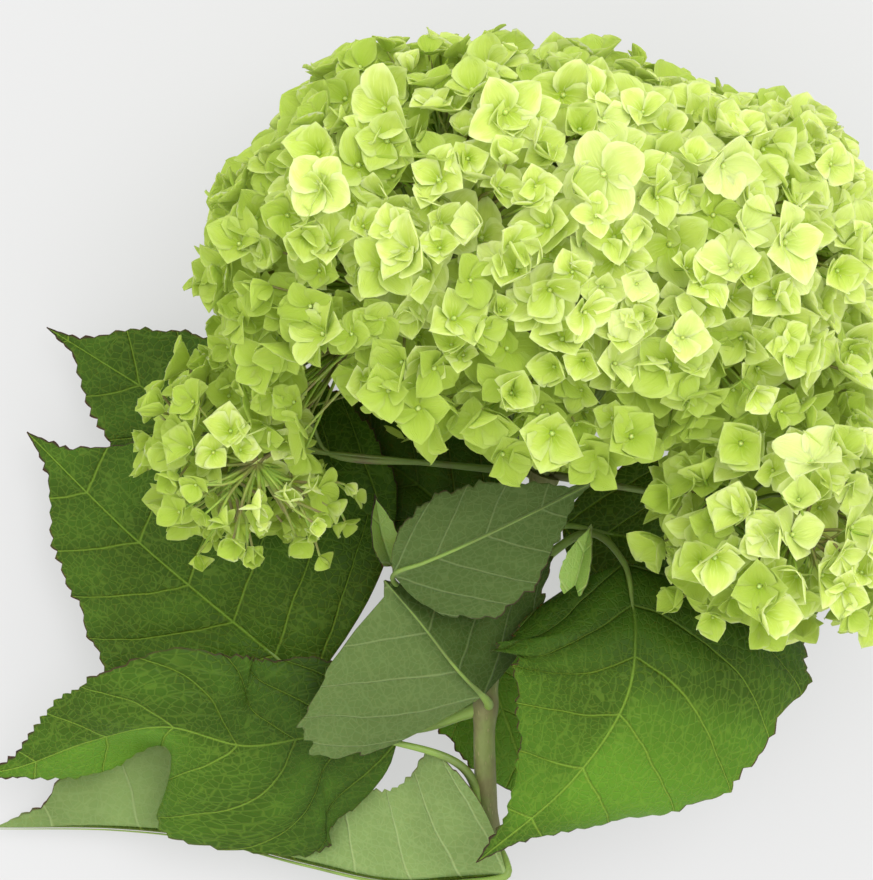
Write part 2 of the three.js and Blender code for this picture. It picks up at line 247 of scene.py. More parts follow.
STEM_BARK, tree, shader = new_material("stem_bark", Roughness=0.55, Specular_IOR_Level=0.35)
skin = mottled(tree, 90.0, 1400.0)
stretched = add(tree, "ShaderNodeMapping", {
    "Vector": add(tree, "ShaderNodeTexCoord").outputs["Object"], "Scale": (1.0, 0.3, 1.0)})
pores = add(tree, "ShaderNodeTexVoronoi", {"Vector": stretched.outputs[0], "Scale": 760.0})
pore_mask = ramp(tree, pores.outputs["Distance"], 0.26, 0.12)
fibre = add(tree, "ShaderNodeTexNoise", {"Vector": stretched.outputs[0], "Scale": 900.0, "Detail": 2.0})
browning = ramp(tree, skin["Blotches"], 0.38, 0.62)
colour = blend_colours(tree, browning, linear(*STEM_GREEN), linear(*STEM_BROWN))
colour = tint(tree, colour, fibre.outputs["Fac"], 0.45, STEM_FIBRE)
colour = tint(tree, colour, pore_mask, 0.45, STEM_PORE)
tree.links.new(colour, shader.inputs["Base Color"])
relief = maths(tree, "MULTIPLY_ADD", pore_mask, 0.8, fibre.outputs["Fac"])
tree.links.new(bump(tree, relief, 0.0002), shader.inputs["Normal"])

route_mm = np.array([(x, y, np.interp(y, (-157, 72), STEM_END_HEIGHT_MM)) for x, y in STEM_ROUTE_MM])
stem_points, stem_ahead = smooth_route(route_mm, 160)
share = np.linspace(0, 1, len(stem_points))
stem_length = np.linalg.norm(np.diff(stem_points, axis=0), axis=1).sum()
nearest_joint = np.min([np.linalg.norm(stem_points - joint, axis=1) for joint in route_mm[1:4]], axis=0)
near_joint = np.clip(1 - nearest_joint / STEM_MM["cut"], 0, 1)
near_fork = np.clip(1 - (1 - share) * stem_length / STEM_MM["cut"], 0, 1)
stem_radii = np.interp(share, (0, 1), (STEM_MM["cut"] / 2, STEM_MM["neck"] / 2))
stem_radii *= 1 + (STEM_MM["swelling"] - 1) * near_joint**2 * (3 - 2 * near_joint)
stem_radii += STEM_MM["fork_flare"] * near_fork**2 * (3 - 2 * near_fork)

# The plant's own millimetres run from its middle leaf joint. The stem's CAD box says where that is.
low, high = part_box("stem")
half_thick = stem_radii[:, None] * np.sqrt(1 - stem_ahead**2)
own_low, own_high = (stem_points - half_thick).min(axis=0), (stem_points + half_thick).max(axis=0)
HOME = (np.array(low) + np.array(high)) / 2 - (own_low + own_high) / 2 * MM


def at_home(points_mm):
    """Places in the plant's own millimetres, in the frame's metres."""
    return np.asarray(points_mm, float) * MM + HOME


stem_piece = shoots("stem_bark", [(at_home(stem_points), stem_radii * MM)], 28, STEM_BARK)
stands_for(stem_piece, "stem", "stem")

# ---------------------------------------------------------------- flower stalks
# Pale green stalks that fork from the top of the stem, each to its own clusters of florets. They are
# slightly browned where they fork, and hold the head together from inside.
STALK_MM = {"bundles": 5, "thick": 2.9, "thin": 1.5, "tip": 1.2, "ring": 3.3, "bow": 4.0, "fork": 0.46,
            "side_fork": 0.74, "twig_end": 0.32}
HEAD_HALF_MM = (106, 75, 86)
# Each side head's middle, as shares of the head's half sizes from its middle, and its own half size.
SIDE_HEADS = {"left": {"share": (-0.81, -0.73, -0.06), "half_mm": 38},
              "right": {"share": (0.7, -1.01, 0.2), "half_mm": 42}}
# Both stalk colours are kept dark as painted shade where the stalks run between the heads; the brown is their
# own browning.
STALK_GREEN = (106, 126, 56)
STALK_SHADE = (102, 96, 64)


def two_tone_skin(name, first, second, turns_at, sizes, relief, **principled):
    """A skin that wanders from one colour to another, with a fine grain where it has any relief."""
    material, tree, shader = new_material(name, **principled)
    skin = mottled(tree, *sizes)
    colour = blend_colours(tree, ramp(tree, skin["Blotches"], *turns_at), linear(*first), linear(*second))
    tree.links.new(colour, shader.inputs["Base Color"])
    if relief:
        tree.links.new(bump(tree, skin["Grain"], relief), shader.inputs["Normal"])
    return material


STALK_SKIN = two_tone_skin(
    "stalk_skin", STALK_GREEN, STALK_SHADE, (0.45, 0.7), (60.0, 1600.0), 0.0001, Roughness=0.5,
    Specular_IOR_Level=0.4, Subsurface_Weight=0.15, Subsurface_Scale=0.002)


def nodes_named(start):
    return sorted(name for name in frame["nodes"] if name.startswith(start))


def middle_of(node):
    corner, far_corner = (np.array(c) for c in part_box(node))
    return (corner + far_corner) / 2


class FlowerHead:
    """A head's clusters, its middle and its half sizes, as its CAD clusters give them."""

    def __init__(self, name):
        self.name = name
        self.clusters = nodes_named(f"florets_{name}_")
        self.middles = np.array([middle_of(node) for node in self.clusters])


heads = {name: FlowerHead(name) for name in ("head", "left", "right")}
corners = np.array([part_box(node) for node in heads["head"].clusters])
low, high = corners[:, 0].min(axis=0), corners[:, 1].max(axis=0)
half = np.array(HEAD_HALF_MM) * MM
heads["head"].half = half
heads["head"].middle = np.array([(low[0] + high[0]) / 2, high[1] - half[1], high[2] - half[2]])
for name, side in SIDE_HEADS.items():
    heads[name].half = np.full(3, side["half_mm"] * MM)
    heads[name].middle = heads["head"].middle + half * side["share"]

fork = at_home(route_mm[4])
bundles = {}
for head in heads.values():
    count = STALK_MM["bundles"] if head.name == "head" else 1
    for node, middle in zip(head.clusters, head.middles):
        aim = (middle - head.middle) / head.half
        turn = math.atan2(aim[2], aim[0]) / math.tau + 0.5
        number = min(int(turn * count), count - 1)
        key = f"flower_stalk_{number + 1}" if head.name == "head" else f"flower_stalk_{head.name}"
        bundles.setdefault(key, []).append(middle - (middle - head.middle) * STALK_MM["twig_end"])

for number, (node, ends) in enumerate(sorted(bundles.items())):
    turn = math.tau * number / len(bundles)
    start = fork + np.array([math.cos(turn), 0, math.sin(turn)]) * STALK_MM["ring"] * MM * 0.5
    forks_at = STALK_MM["fork"] if node[-1].isdigit() else STALK_MM["side_fork"]
    hub = start + (np.mean(ends, axis=0) - start) * forks_at
    routes = []
    for end in ends:
        bow = (end - hub) * 0.5 + hub + np.array([0, STALK_MM["bow"] * MM, 0])
        points, _ = smooth_route([start, start + (hub - start) * 0.5, hub, bow, end], 26)
        thickness = (STALK_MM["thick"], STALK_MM["thin"], STALK_MM["tip"])
        radii = np.interp(np.linspace(0, 1, 26), (0, 0.45, 1), thickness) / 2
        routes.append((points, radii * MM))
    stalk_piece = shoots(node.replace("stalk", "stalks"), routes, 10, STALK_SKIN)
    stands_for(stalk_piece, "flower_stalks", node)

# ---------------------------------------------------------------- leaves
# Broad thin leaves in pairs up the stem. Each is quilted between sunken veins, saw-toothed with a dark rim,
# green above and paler below, and joins the stem by a round stalk that becomes its midrib.
LEAF_MM = {"thick": 0.5, "stalk": 3.4, "stalk_foot": 2.6, "row": 0.9, "tooth_depth": 1.45, "quilt": 0.65,
           "lowest": 0.9, "rib_below": 0.55, "first_vein_gap": 14, "usual_half": 30, "vein_widening": 0.008,
           "vein_slant": 0.95, "vein_arch": 0.01, "rib_radii": (1.1724, 0.5909, 0.1), "trough": 0.7,
           "trough_half": 2.2, "keel": 0.25, "keel_half": 1.2, "wave": 1.5, "wave_gap": 8.5,
           "full_length": 90}
LEAF_SHAPE = {"tip": 0.08, "roundness": 0.55, "at_base": 0.03, "at_tip": 0.006, "into_blade": 0.16,
              "uneven": 0.05, "lead": 0.45, "young_thick": 0.45}
TOOTH_PROFILE = (0.0, 0.4, 0.75, 1.0)
ROWS_TO_A_TOOTH = len(TOOTH_PROFILE)
HALF_COLUMNS = 22
# On each side of a leaf, the darker green is painted shade and the lighter green is painted light, taken on
# by its painted light and tone. The darker green also tints the leaf's blotches.
LEAF_TOP = (54, 80, 16)
LEAF_TOP_SHADE_AND_BLOTCH = (38, 60, 14)
LEAF_TOP_LIT = (88, 132, 34)
LEAF_VEIN = (124, 156, 54)
LEAF_BELOW = (122, 146, 84)
LEAF_BELOW_SHADE_AND_BLOTCH = (46, 66, 18)
LEAF_BELOW_LIT = (132, 158, 92)
LEAF_BELOW_VEIN = (152, 172, 112)
LEAF_RIM = (58, 44, 34)
YOUNG_GREEN = (150, 184, 84)
YOUNG_DARK = (134, 170, 66)
YOUNG_HIGHLIGHT = (170, 200, 100)
YOUNG_VEIN = (190, 212, 130)
LEAF_STALK_GREEN = (124, 152, 66)
LEAF_STALK_SHADE = (104, 124, 58)

# Each leaf has its midrib in mm from its joint, and where its upper side looks at base and tip. Each half of
# it has its width in mm, and in degrees how far it is raised and how much more it curls at its edge. Its
# painted light and tone is how pale (1) or deep (-1) the green of each half is from base to tip: painted
# light where the half is lit and painted shade where it lies in shade. Lead is how far the stalk runs on
# straight from the blade, and dip is how far it hangs in mm.
LEAVES = [
    dict(node="leaf_back_left", joint=2, broadest=0.4, tone=[[-0.2], [-0.1]],
         midrib=[(-36, 15, -17), (-68, 33, -23), (-104, 57, -31), (-144, 82, -37)],
         faces=[(0.1, -0.1, 1), (-0.2, 0.1, 1)], half=[[31], [33]], raised=[[8], [10]], curl=[-16, -20]),
    dict(node="leaf_left", joint=1, broadest=0.36, tone=[[0.0], [0.1]],
         midrib=[(-54, 6, -10), (-80, 27, -12), (-110, 52, -18), (-144, 85, -26)],
         faces=[(0, -0.1, 1), (-0.2, 0, 1)], half=[[38], [90, 60, 51, 51, 51]], raised=[[8], [6]],
         curl=[-22, -18]),
    dict(node="leaf_lower_left", joint=0, broadest=0.36,
         tone=[[-0.6, -0.7, 0.3, 1.0, 0.7, 0.3], [-0.8, -0.5, 0.1, 0.3]],
         midrib=[(-28, 28, 12), (-51, 30, 14), (-75, 27, 11), (-99, 33, 14), (-123, 28, 4),
                 (-147, 19, -8), (-163, 16, -14)],
         faces=[(0, 0, 1), (0, -0.2, 1)], half=[[42, 43, 40, 26, 34, 34], [27]],
         raised=[[-16, -22, -20, -58, -24, -10], [10, 15, 15, 25, 10, 0]], curl=[-12, -20]),
    dict(node="leaf_bottom", joint=0, broadest=0.4, lead=0.1, tone=[[0.0, 0.2, -0.2, -0.3], [0.0]],
         midrib=[(6, -13, 8), (-28, -16, -4), (-57, -11, -12), (-87, -4, -18), (-117, -1, -22),
                 (-155, -1, -26)],
         faces=[(0, 1, 0), (0, 1, 0)], half=[[72, 30, 33, 52, 90], [24]],
         raised=[[76, 82, 82, 78], [62]], curl=[4, 4]),
    dict(node="leaf_middle", joint=1, broadest=0.5, tone=[[-1.0], [-0.55]],
         midrib=[(-1, 4, 9), (-10, 14, 20), (-20, 27, 27), (-31, 40, 29)],
         faces=[(-0.1, 0.4, -0.9), (-0.2, 0.1, -1)], half=[[44], [50]], raised=[[8], [-2]], curl=[12, 8]),
    dict(node="leaf_upper_middle", joint=1, broadest=0.36, lead=0.0, dip=14, tone=[[-0.7], [-0.6]],
         midrib=[(-28, 42, 37), (-9, 50, 44), (12, 60, 46), (32, 70, 42)],
         faces=[(0, 0.1, -1), (0, 0.2, -1)], half=[[25], [17]], raised=[[12], [16]], curl=[6, 6]),
    dict(node="leaf_front_right", joint=2, broadest=0.32,
         tone=[[-0.8, -0.6, 0.5, 0.9, 0.4, -0.5], [-0.8, -0.7, 0.1, 0.4, 0.6, -0.4]],
         midrib=[(36, 9, 11), (39, -12, 23), (36, -32, 25), (20, -57, 17), (-9, -83, 4)],
         faces=[(0, 0.2, 1), (-0.1, -0.4, 1)], half=[[60, 61, 51, 49, 38, 30], [50, 42, 38, 38]],
         raised=[[-4], [-2]], curl=[-40, -26]),
    dict(node="leaf_back_middle", joint=2, broadest=0.4, tone=[[-0.8], [-0.8]],
         midrib=[(-6, 12, -9), (-24, 30, -19), (-42, 44, -27), (-64, 63, -35)],
         faces=[(0, 0, 1), (0, 0, 1)], half=[[25], [22]], raised=[[8], [8]], curl=[-10, -10]),
    dict(node="leaf_right", joint=2, broadest=0.4, tone=[[0.0], [0.0]],
         midrib=[(18, 20, -9), (52, 14, -21), (90, 8, -33), (126, 4, -42)],
         faces=[(0, 0, 1), (0.2, 0, 1)], half=[[27], [27]], raised=[[8], [8]], curl=[-12, -12]),
    dict(node="leaf_behind_stem", joint=2, broadest=0.4, tone=[[1.0], [1.0]],
         midrib=[(-10, -10, -17), (-4, -28, -25), (3, -48, -33), (11, -72, -41)],
         faces=[(0, 0, 1), (0, 0, 1)], half=[[20], [20]], raised=[[6], [6]], curl=[-8, -8]),
    dict(node="young_leaf_left", joint=2, broadest=0.4, tone=[[0.0], [0.0]],
         midrib=[(-35, 8, -2), (-38, 18, 4), (-40, 30, 6)], faces=[(0.3, 0, 1), (0.3, 0, 1)],
         half=[[5], [5]], raised=[[30], [30]], curl=[0, 0]),
    dict(node="young_leaf_right", joint=2, broadest=0.4, tone=[[0.0], [0.0]],
         midrib=[(20, -2, 10), (23, 9, 12), (26, 21, 13)], faces=[(-0.4, 0, 1), (-0.4, 0, 1)],
         half=[[6], [6]], raised=[[40], [40]], curl=[0, 0]),
]

# Finds the veins and the margin of a blade from what its mesh holds: "blade" is across and along it in tenths
# of a metre, and "veins" is the side vein's number, the gap to the next in cm, and the mm to the edge.
leaf_veins, given, result = group_tree(
    "leaf_veins", "ShaderNodeTree", [("Rim", "NodeSocketFloat", 0.7)],
    [("Midrib", "NodeSocketFloat"), ("Side veins", "NodeSocketFloat"), ("Network", "NodeSocketFloat"),
     ("Margin", "NodeSocketFloat"), ("Quilting", "NodeSocketFloat")])
blade = add(leaf_veins, "ShaderNodeUVMap", uv_map="blade")
across_along = add(leaf_veins, "ShaderNodeSeparateXYZ", {0: blade.outputs[0]})
held = add(leaf_veins, "ShaderNodeAttribute", attribute_name="veins")
held_parts = add(leaf_veins, "ShaderNodeSeparateXYZ", {0: held.outputs["Vector"]})
vein_number, vein_gap, to_edge = held_parts.outputs
across_mm = maths(leaf_veins, "MULTIPLY", across_along.outputs[0], 100)
along_mm = maths(leaf_veins, "MULTIPLY", across_along.outputs[1], 100)
wander = add(leaf_veins, "ShaderNodeTexNoise", {"Vector": blade.outputs[0], "Scale": 7.0, "Detail": 1.0})
wandering = maths(leaf_veins, "MULTIPLY_ADD", wander.outputs["Fac"], 0.16, -0.08)
number = maths(leaf_veins, "ADD", vein_number, wandering)
part = maths(leaf_veins, "FRACT", number)
off_half_way = maths(leaf_veins, "ABSOLUTE", maths(leaf_veins, "SUBTRACT", part, 0.5))
from_vein = maths(leaf_veins, "SUBTRACT", 0.5, off_half_way)
from_vein_mm = maths(leaf_veins, "MULTIPLY", maths(leaf_veins, "MULTIPLY", from_vein, vein_gap), 10)
from_midrib_mm = maths(leaf_veins, "ABSOLUTE", across_mm)
taper = maths(leaf_veins, "MULTIPLY_ADD", along_mm, -0.004, 1.0)
midrib_width = maths(leaf_veins, "MAXIMUM", maths(leaf_veins, "MULTIPLY", taper, 0.9), 0.3)
leaf_veins.links.new(ramp(leaf_veins, from_midrib_mm, midrib_width, 0.1), result.inputs["Midrib"])
side_taper = maths(leaf_veins, "MULTIPLY_ADD", from_midrib_mm, -0.009, 0.58)
side_width = maths(leaf_veins, "MAXIMUM", side_taper, 0.22)
leaf_veins.links.new(ramp(leaf_veins, from_vein_mm, side_width, 0.05), result.inputs["Side veins"])
leaf_veins.links.new(ramp(leaf_veins, to_edge, given.outputs["Rim"], 0.15), result.inputs["Margin"])
between = maths(leaf_veins, "FLOOR", number)
offset = add(leaf_veins, "ShaderNodeTexWhiteNoise", {"W": between}, noise_dimensions="1D")
rungs = maths(leaf_veins, "MULTIPLY_ADD", across_mm, 0.19, offset.outputs["Value"])
rungs = maths(leaf_veins, "MULTIPLY_ADD", part, 0.8, rungs)
rungs = maths(leaf_veins, "MULTIPLY_ADD", wander.outputs["Fac"], 1.6, rungs)
rung_part = maths(leaf_veins, "FRACT", rungs)
off_rung = maths(leaf_veins, "ABSOLUTE", maths(leaf_veins, "SUBTRACT", rung_part, 0.5))
meshwork = add(leaf_veins, "ShaderNodeTexVoronoi", {"Vector": blade.outputs[0], "Scale": 46.0},
               feature="DISTANCE_TO_EDGE")
mesh_lines = maths(leaf_veins, "MULTIPLY", ramp(leaf_veins, meshwork.outputs["Distance"], 0.13, 0.0), 0.85)
rung_lines = maths(leaf_veins, "MULTIPLY", ramp(leaf_veins, off_rung, 0.09, 0.0), 0.75)
network = maths(leaf_veins, "MAXIMUM", rung_lines, mesh_lines)
leaf_veins.links.new(network, result.inputs["Network"])
swell = maths(leaf_veins, "POWER", maths(leaf_veins, "MULTIPLY", from_vein, 2.0), 0.5)
leaf_veins.links.new(swell, result.inputs["Quilting"])


def leaf_skin(name, body, dark, lit, vein, vein_share, relief, rim=0.7, **principled):
    """One side of a leaf. Relief is how far its veins stand up, in metres, or sink where it is negative."""
    material, tree, shader = new_material(name, **principled)
    lines = add(tree, "ShaderNodeGroup", {"Rim": rim}, node_tree=leaf_veins)
    skin = mottled(tree, 34.0, 1100.0)
    tone = add(tree, "ShaderNodeAttribute", attribute_name="tone").outputs["Fac"]
    colour = tint(tree, linear(*body), ramp(tree, skin["Blotches"], 0.35, 0.68), 0.3, dark)
    # Painted light towards the lit colour above 0, and painted shade towards the dark colour below 0.
    colour = blend_colours(tree, ramp(tree, tone, 0.0, 1.0), colour, linear(*lit))
    colour = blend_colours(tree, ramp(tree, tone, 0.0, -1.0), colour, linear(*dark))
    # Painted highlight: in patches, the bulging panels between the veins are tinted towards the lit colour.
    patches = ramp(tree, skin["Blotches"], 0.35, 0.7)
    pillow_highlight = maths(tree, "MULTIPLY", lines.outputs["Quilting"], patches)
    colour = tint(tree, colour, pillow_highlight, 0.3 if relief < 0 else 0.1, lit)
    # The veins take on the painted shade as well.
    vein_colour = blend_colours(tree, ramp(tree, tone, -1.6, 0.4), linear(*dark), linear(*vein))
    finest = maths(tree, "MULTIPLY", lines.outputs["Network"], vein_share * 0.38)
    colour = blend_colours(tree, finest, colour, vein_colour)
    mains = maths(tree, "MAXIMUM", lines.outputs["Side veins"], lines.outputs["Midrib"])
    colour = blend_colours(tree, maths(tree, "MULTIPLY", mains, vein_share), colour, vein_colour)
    browned = ramp(tree, skin["Blotches"], 0.38, 0.58)
    ragged = maths(tree, "MULTIPLY", lines.outputs["Margin"], browned)
    colour = blend_colours(tree, ragged, colour, linear(*LEAF_RIM))
    tree.links.new(colour, shader.inputs["Base Color"])
    veins_up = maths(tree, "MULTIPLY_ADD", lines.outputs["Network"], 0.35, mains)
    if relief < 0:
        height = maths(tree, "MULTIPLY_ADD", veins_up, -1.0, lines.outputs["Quilting"])
    else:
        height = veins_up
    coarse = bump(tree, height, abs(relief))
    tree.links.new(bump(tree, skin["Grain"], 0.00012, 1.0, coarse), shader.inputs["Normal"])
    return material


LEAF_TOP_SKIN = leaf_skin(
    "leaf_top", LEAF_TOP, LEAF_TOP_SHADE_AND_BLOTCH, LEAF_TOP_LIT, LEAF_VEIN, 0.75, -0.0005,
    Roughness=0.42, Specular_IOR_Level=0.09, Subsurface_Weight=0.08, Subsurface_Scale=0.002)
LEAF_BELOW_SKIN = leaf_skin(
    "leaf_below", LEAF_BELOW, LEAF_BELOW_SHADE_AND_BLOTCH, LEAF_BELOW_LIT, LEAF_BELOW_VEIN, 0.75, 0.00025,
    Roughness=0.7, Specular_IOR_Level=0.08, Sheen_Weight=0.03, Sheen_Roughness=0.5,
    Subsurface_Weight=0.08, Subsurface_Scale=0.002)
YOUNG_SKIN = leaf_skin(
    "young_leaf_skin", YOUNG_GREEN, YOUNG_DARK, YOUNG_HIGHLIGHT, YOUNG_VEIN, 0.5, -0.0002, 0.16,
    Roughness=0.45, Specular_IOR_Level=0.4, Subsurface_Weight=0.15, Subsurface_Scale=0.002)
LEAF_STALK_SKIN = two_tone_skin(
    "leaf_stalk_skin", LEAF_STALK_GREEN, LEAF_STALK_SHADE, (0.4, 0.65), (70.0, 1500.0), 0.0001,
    Roughness=0.45, Specular_IOR_Level=0.4, Subsurface_Weight=0.1, Subsurface_Scale=0.002)


def eased(values, share):
    """A value along a list of evenly spaced ones, easing from each to the next."""
    if len(values) == 1:
        return np.full_like(share, values[0], dtype=float)
    place = np.clip(share, 0, 1) * (len(values) - 1)
    step = np.minimum(place.astype(int), len(values) - 2)
    part = place - step
    values = np.array(values, float)
    return values[step] + (values[step + 1] - values[step]) * part * part * (3 - 2 * part)


def leaf_outline(share, broadest):
    """Half width along the blade as a share of its widest, with a rounded base and a drawn-out tip."""
    body = np.minimum(share / (1 - LEAF_SHAPE["tip"]), 1)
    rise = (body / broadest) ** LEAF_SHAPE["roundness"]
    fall = ((1 - body) / (1 - broadest)) ** (LEAF_SHAPE["roundness"] * (1 - broadest) / broadest)
    drawn_out = np.maximum((1 - share) * 0.9, LEAF_SHAPE["at_tip"])
    return np.maximum(rise * fall, np.where(share < broadest, LEAF_SHAPE["at_base"], drawn_out))


def rows_of_vectors(array, count):
    return np.repeat(array[:, None, :], count, axis=1)


def mesh_from(name, points, faces):
    mesh = bpy.data.meshes.new(name)
    mesh.from_pydata(points.tolist(), [], faces)
    mesh.polygons.foreach_set("use_smooth", [True] * len(mesh.polygons))
    mesh.validate()
    return mesh


def sheet_faces(rows, columns):
    """A closed sheet's faces: an upper and a lower grid that share the points around the rim."""
    upper = np.arange(rows * columns).reshape(rows, columns)
    lower = upper.copy()
    inside = (rows - 2) * (columns - 2)
    lower[1:-1, 1:-1] = rows * columns + np.arange(inside).reshape(rows - 2, columns - 2)
    quads = []
    for grid, turn in ((upper, 1), (lower, -1)):
        corners = np.stack([grid[:-1, :-1], grid[:-1, 1:], grid[1:, 1:], grid[1:, :-1]], axis=-1)
        quads.append(corners.reshape(-1, 4)[:, ::turn])
    return np.concatenate(quads), (rows - 1) * (columns - 1)


def sharpen_rims(mesh, rows, columns, starts=(0,)):
    """Keeps the shading of a sheet's two sides apart at its rim. A mesh may hold several such sheets."""
    grid = np.arange(rows * columns).reshape(rows, columns)
    rim = np.concatenate([grid[0], grid[-1], grid[:, 0], grid[:, -1]])
    on_rim = np.zeros(len(mesh.vertices), bool)
    on_rim[np.concatenate([rim + start for start in starts])] = True
    ends = np.empty(len(mesh.edges) * 2, int)
    mesh.edges.foreach_get("vertices", ends)
    mesh.edges.foreach_set("use_edge_sharp", on_rim[ends.reshape(-1, 2)].all(axis=1))


def blade_mesh(leaf, seed):
    """The blade as a closed sheet: upper side first, then the underside, with its veins and margin held."""
    rng = np.random.default_rng(seed)
    from_joint = route_mm[1 + leaf["joint"]]
    midrib = np.array(leaf["midrib"], float) + from_joint
    rough = np.linalg.norm(np.diff(midrib, axis=0), axis=1).sum()
    rows = int(rough / LEAF_MM["row"]) // ROWS_TO_A_TOOTH * ROWS_TO_A_TOOTH + 1
    at, ahead = smooth_route(midrib, rows)
    length = np.linalg.norm(np.diff(at, axis=0), axis=1).sum()
    share = np.linspace(0, 1, rows)
    base_face, tip_face = (np.array(face, float) / np.linalg.norm(face) for face in leaf["faces"])
    face = base_face + (tip_face - base_face) * share[:, None]
    right = np.cross(ahead, face)
    right /= np.linalg.norm(right, axis=1)[:, None]
    up = np.cross(right, ahead)

    columns = 2 * HALF_COLUMNS + 1
    reach = np.linspace(-1, 1, columns)
    reach = np.sign(reach) * np.abs(reach) ** 0.9
    share_grid, reach_grid = np.meshgrid(share, reach, indexing="ij")
    distance = np.abs(reach_grid)
    left = reach_grid < 0

    def by_side(key):
        first, second = leaf[key]
        if isinstance(first, list):
            return np.where(left, eased(first, share_grid), eased(second, share_grid))
        return np.where(left, first, second)

    # Each half's painted light and shade, eased across the midrib from one half's to the other's.
    over_midrib = np.clip(reach_grid * 6 + 0.5, 0, 1)
    left_light_and_tone, right_light_and_tone = (eased(half_light_and_tone, share_grid) for half_light_and_tone in leaf["tone"])
    tone = left_light_and_tone * (1 - over_midrib) + right_light_and_tone * over_midrib

    saw = np.array(TOOTH_PROFILE)[np.arange(rows) % ROWS_TO_A_TOOTH]
    teeth = np.zeros_like(share_grid)
    grown = min(1, length / LEAF_MM["full_length"])
    size_by_share = np.clip(share / 0.12, 0, 1) * np.clip((1 - share) / 0.1, 0.1, 1) * grown
    for side in (left, ~left):
        each = np.repeat(rng.uniform(0.2, 1.3, rows // ROWS_TO_A_TOOTH + 1), ROWS_TO_A_TOOTH)[:rows]
        teeth += np.where(side, (saw * each * size_by_share)[:, None], 0) * LEAF_MM["tooth_depth"]
    half = by_side("half") * leaf_outline(share_grid, leaf["broadest"])
    uneven = np.sin(share_grid * 17 + seed) * np.sin(share_grid * 41 + 2 * seed)
    uneven = 1 + LEAF_SHAPE["uneven"] * uneven
    width = distance * half * uneven + teeth * distance**9
    turn = np.radians(by_side("raised") + by_side("curl") * distance / 2)
    slope = np.radians(by_side("raised") + by_side("curl") * distance)
    outwards = rows_of_vectors(right, columns) * np.where(left, -1, 1)[..., None]
    upwards = rows_of_vectors(up, columns)
    places = rows_of_vectors(at, columns) + outwards * (width * np.cos(turn))[..., None]
    places += upwards * (width * np.sin(turn))[..., None]
    normals = upwards * np.cos(slope)[..., None] - outwards * np.sin(slope)[..., None]

    along_mm = share_grid * length
    spread = width * np.minimum(1, LEAF_MM["usual_half"] / np.maximum(by_side("half").max(axis=0), 1))
    number_mm = along_mm - LEAF_MM["vein_slant"] * spread - LEAF_MM["vein_arch"] * spread**2
    widening = 1 + LEAF_MM["vein_widening"] * np.maximum(number_mm, -0.5 / LEAF_MM["vein_widening"])
    number = np.log(widening) / (LEAF_MM["vein_widening"] * LEAF_MM["first_vein_gap"]) + 20
    gap = LEAF_MM["first_vein_gap"] * widening
    gap /= np.sqrt(1 + (LEAF_MM["vein_slant"] + 2 * LEAF_MM["vein_arch"] * spread) ** 2)
    from_vein = 0.5 - np.abs(number % 1 - 0.5)
    fade = np.clip(width / 5, 0, 1) * np.clip((half - width) / 5, 0, 1) * grown
    quilt = (np.sqrt(from_vein * 2) - 0.6) * fade * LEAF_MM["quilt"]
    trough = -LEAF_MM["trough"] * np.exp(-((width / LEAF_MM["trough_half"]) ** 2))
    trough = trough * np.clip(1.1 - share_grid, 0, 1) * grown
    wave = LEAF_MM["wave"] * distance**3 * np.sin(along_mm / LEAF_MM["wave_gap"] + seed + 1.7 * left)
    wave = wave * np.clip(half / LEAF_MM["usual_half"], 0, 1)
    places += normals * (quilt + trough + wave)[..., None]
    thick = LEAF_MM["thick"] / 2
    lowest = LEAF_MM["lowest"]
    places[..., 2] = np.where(places[..., 2] < lowest, lowest, places[..., 2])

    inner = (slice(1, -1), slice(1, -1))
    upper = places.copy()
    upper[inner] += normals[inner] * thick
    keel = LEAF_MM["keel"] * np.exp(-((width / LEAF_MM["keel_half"]) ** 2))
    lower = (places - normals * (thick + keel)[..., None])[inner]
    quads, upper_count = sheet_faces(rows, columns)
    points = np.concatenate([upper.reshape(-1, 3), lower.reshape(-1, 3)])
    mesh = mesh_from(leaf["node"], at_home(points), quads.tolist())
    mesh.polygons.foreach_set("material_index", [0] * upper_count + [1] * (len(quads) - upper_count))

    def held(values):
        fields = values.shape[-1]
        return np.concatenate([values.reshape(-1, fields), values[inner].reshape(-1, fields)])

    to_edge = (1 - distance) * half + teeth * (1 - distance) + 0.001
    to_edge = np.minimum(to_edge, np.minimum(share_grid, 1 - share_grid) * length + 3 * (share_grid < 0.5))
    veins = held(np.stack([number, gap / 10, to_edge], axis=-1))
    across_along = held(np.stack([np.where(left, -width, width), along_mm], axis=-1) / 100)
    mesh.attributes.new("veins", "FLOAT_VECTOR", "POINT").data.foreach_set("vector", veins.ravel())
    mesh.attributes.new("tone", "FLOAT", "POINT").data.foreach_set("value", held(tone[..., None]).ravel())
    loops = np.empty(len(mesh.loops), int)
    mesh.loops.foreach_get("vertex_index", loops)
    mesh.uv_layers.new(name="blade").data.foreach_set("uv", across_along[loops].ravel())
    sharpen_rims(mesh, rows, columns)
    return mesh, at, ahead, up


def joined(name, meshes_and_slots, materials):
    """One mesh from several, each given its place in the materials."""
    objects = []
    for mesh, first_slot in meshes_and_slots:
        indices = np.empty(len(mesh.polygons), int)
        mesh.polygons.foreach_get("material_index", indices)
        mesh.materials.clear()
        for material in materials:
            mesh.materials.append(material)
        mesh.polygons.foreach_set("material_index", indices + first_slot)
        objects.append(plain_piece(name, mesh))
    with bpy.context.temp_override(active_object=objects[0], object=objects[0], selected_objects=objects,
                                   selected_editable_objects=objects):
        bpy.ops.object.join()
    objects[0].name = name
    return objects[0]


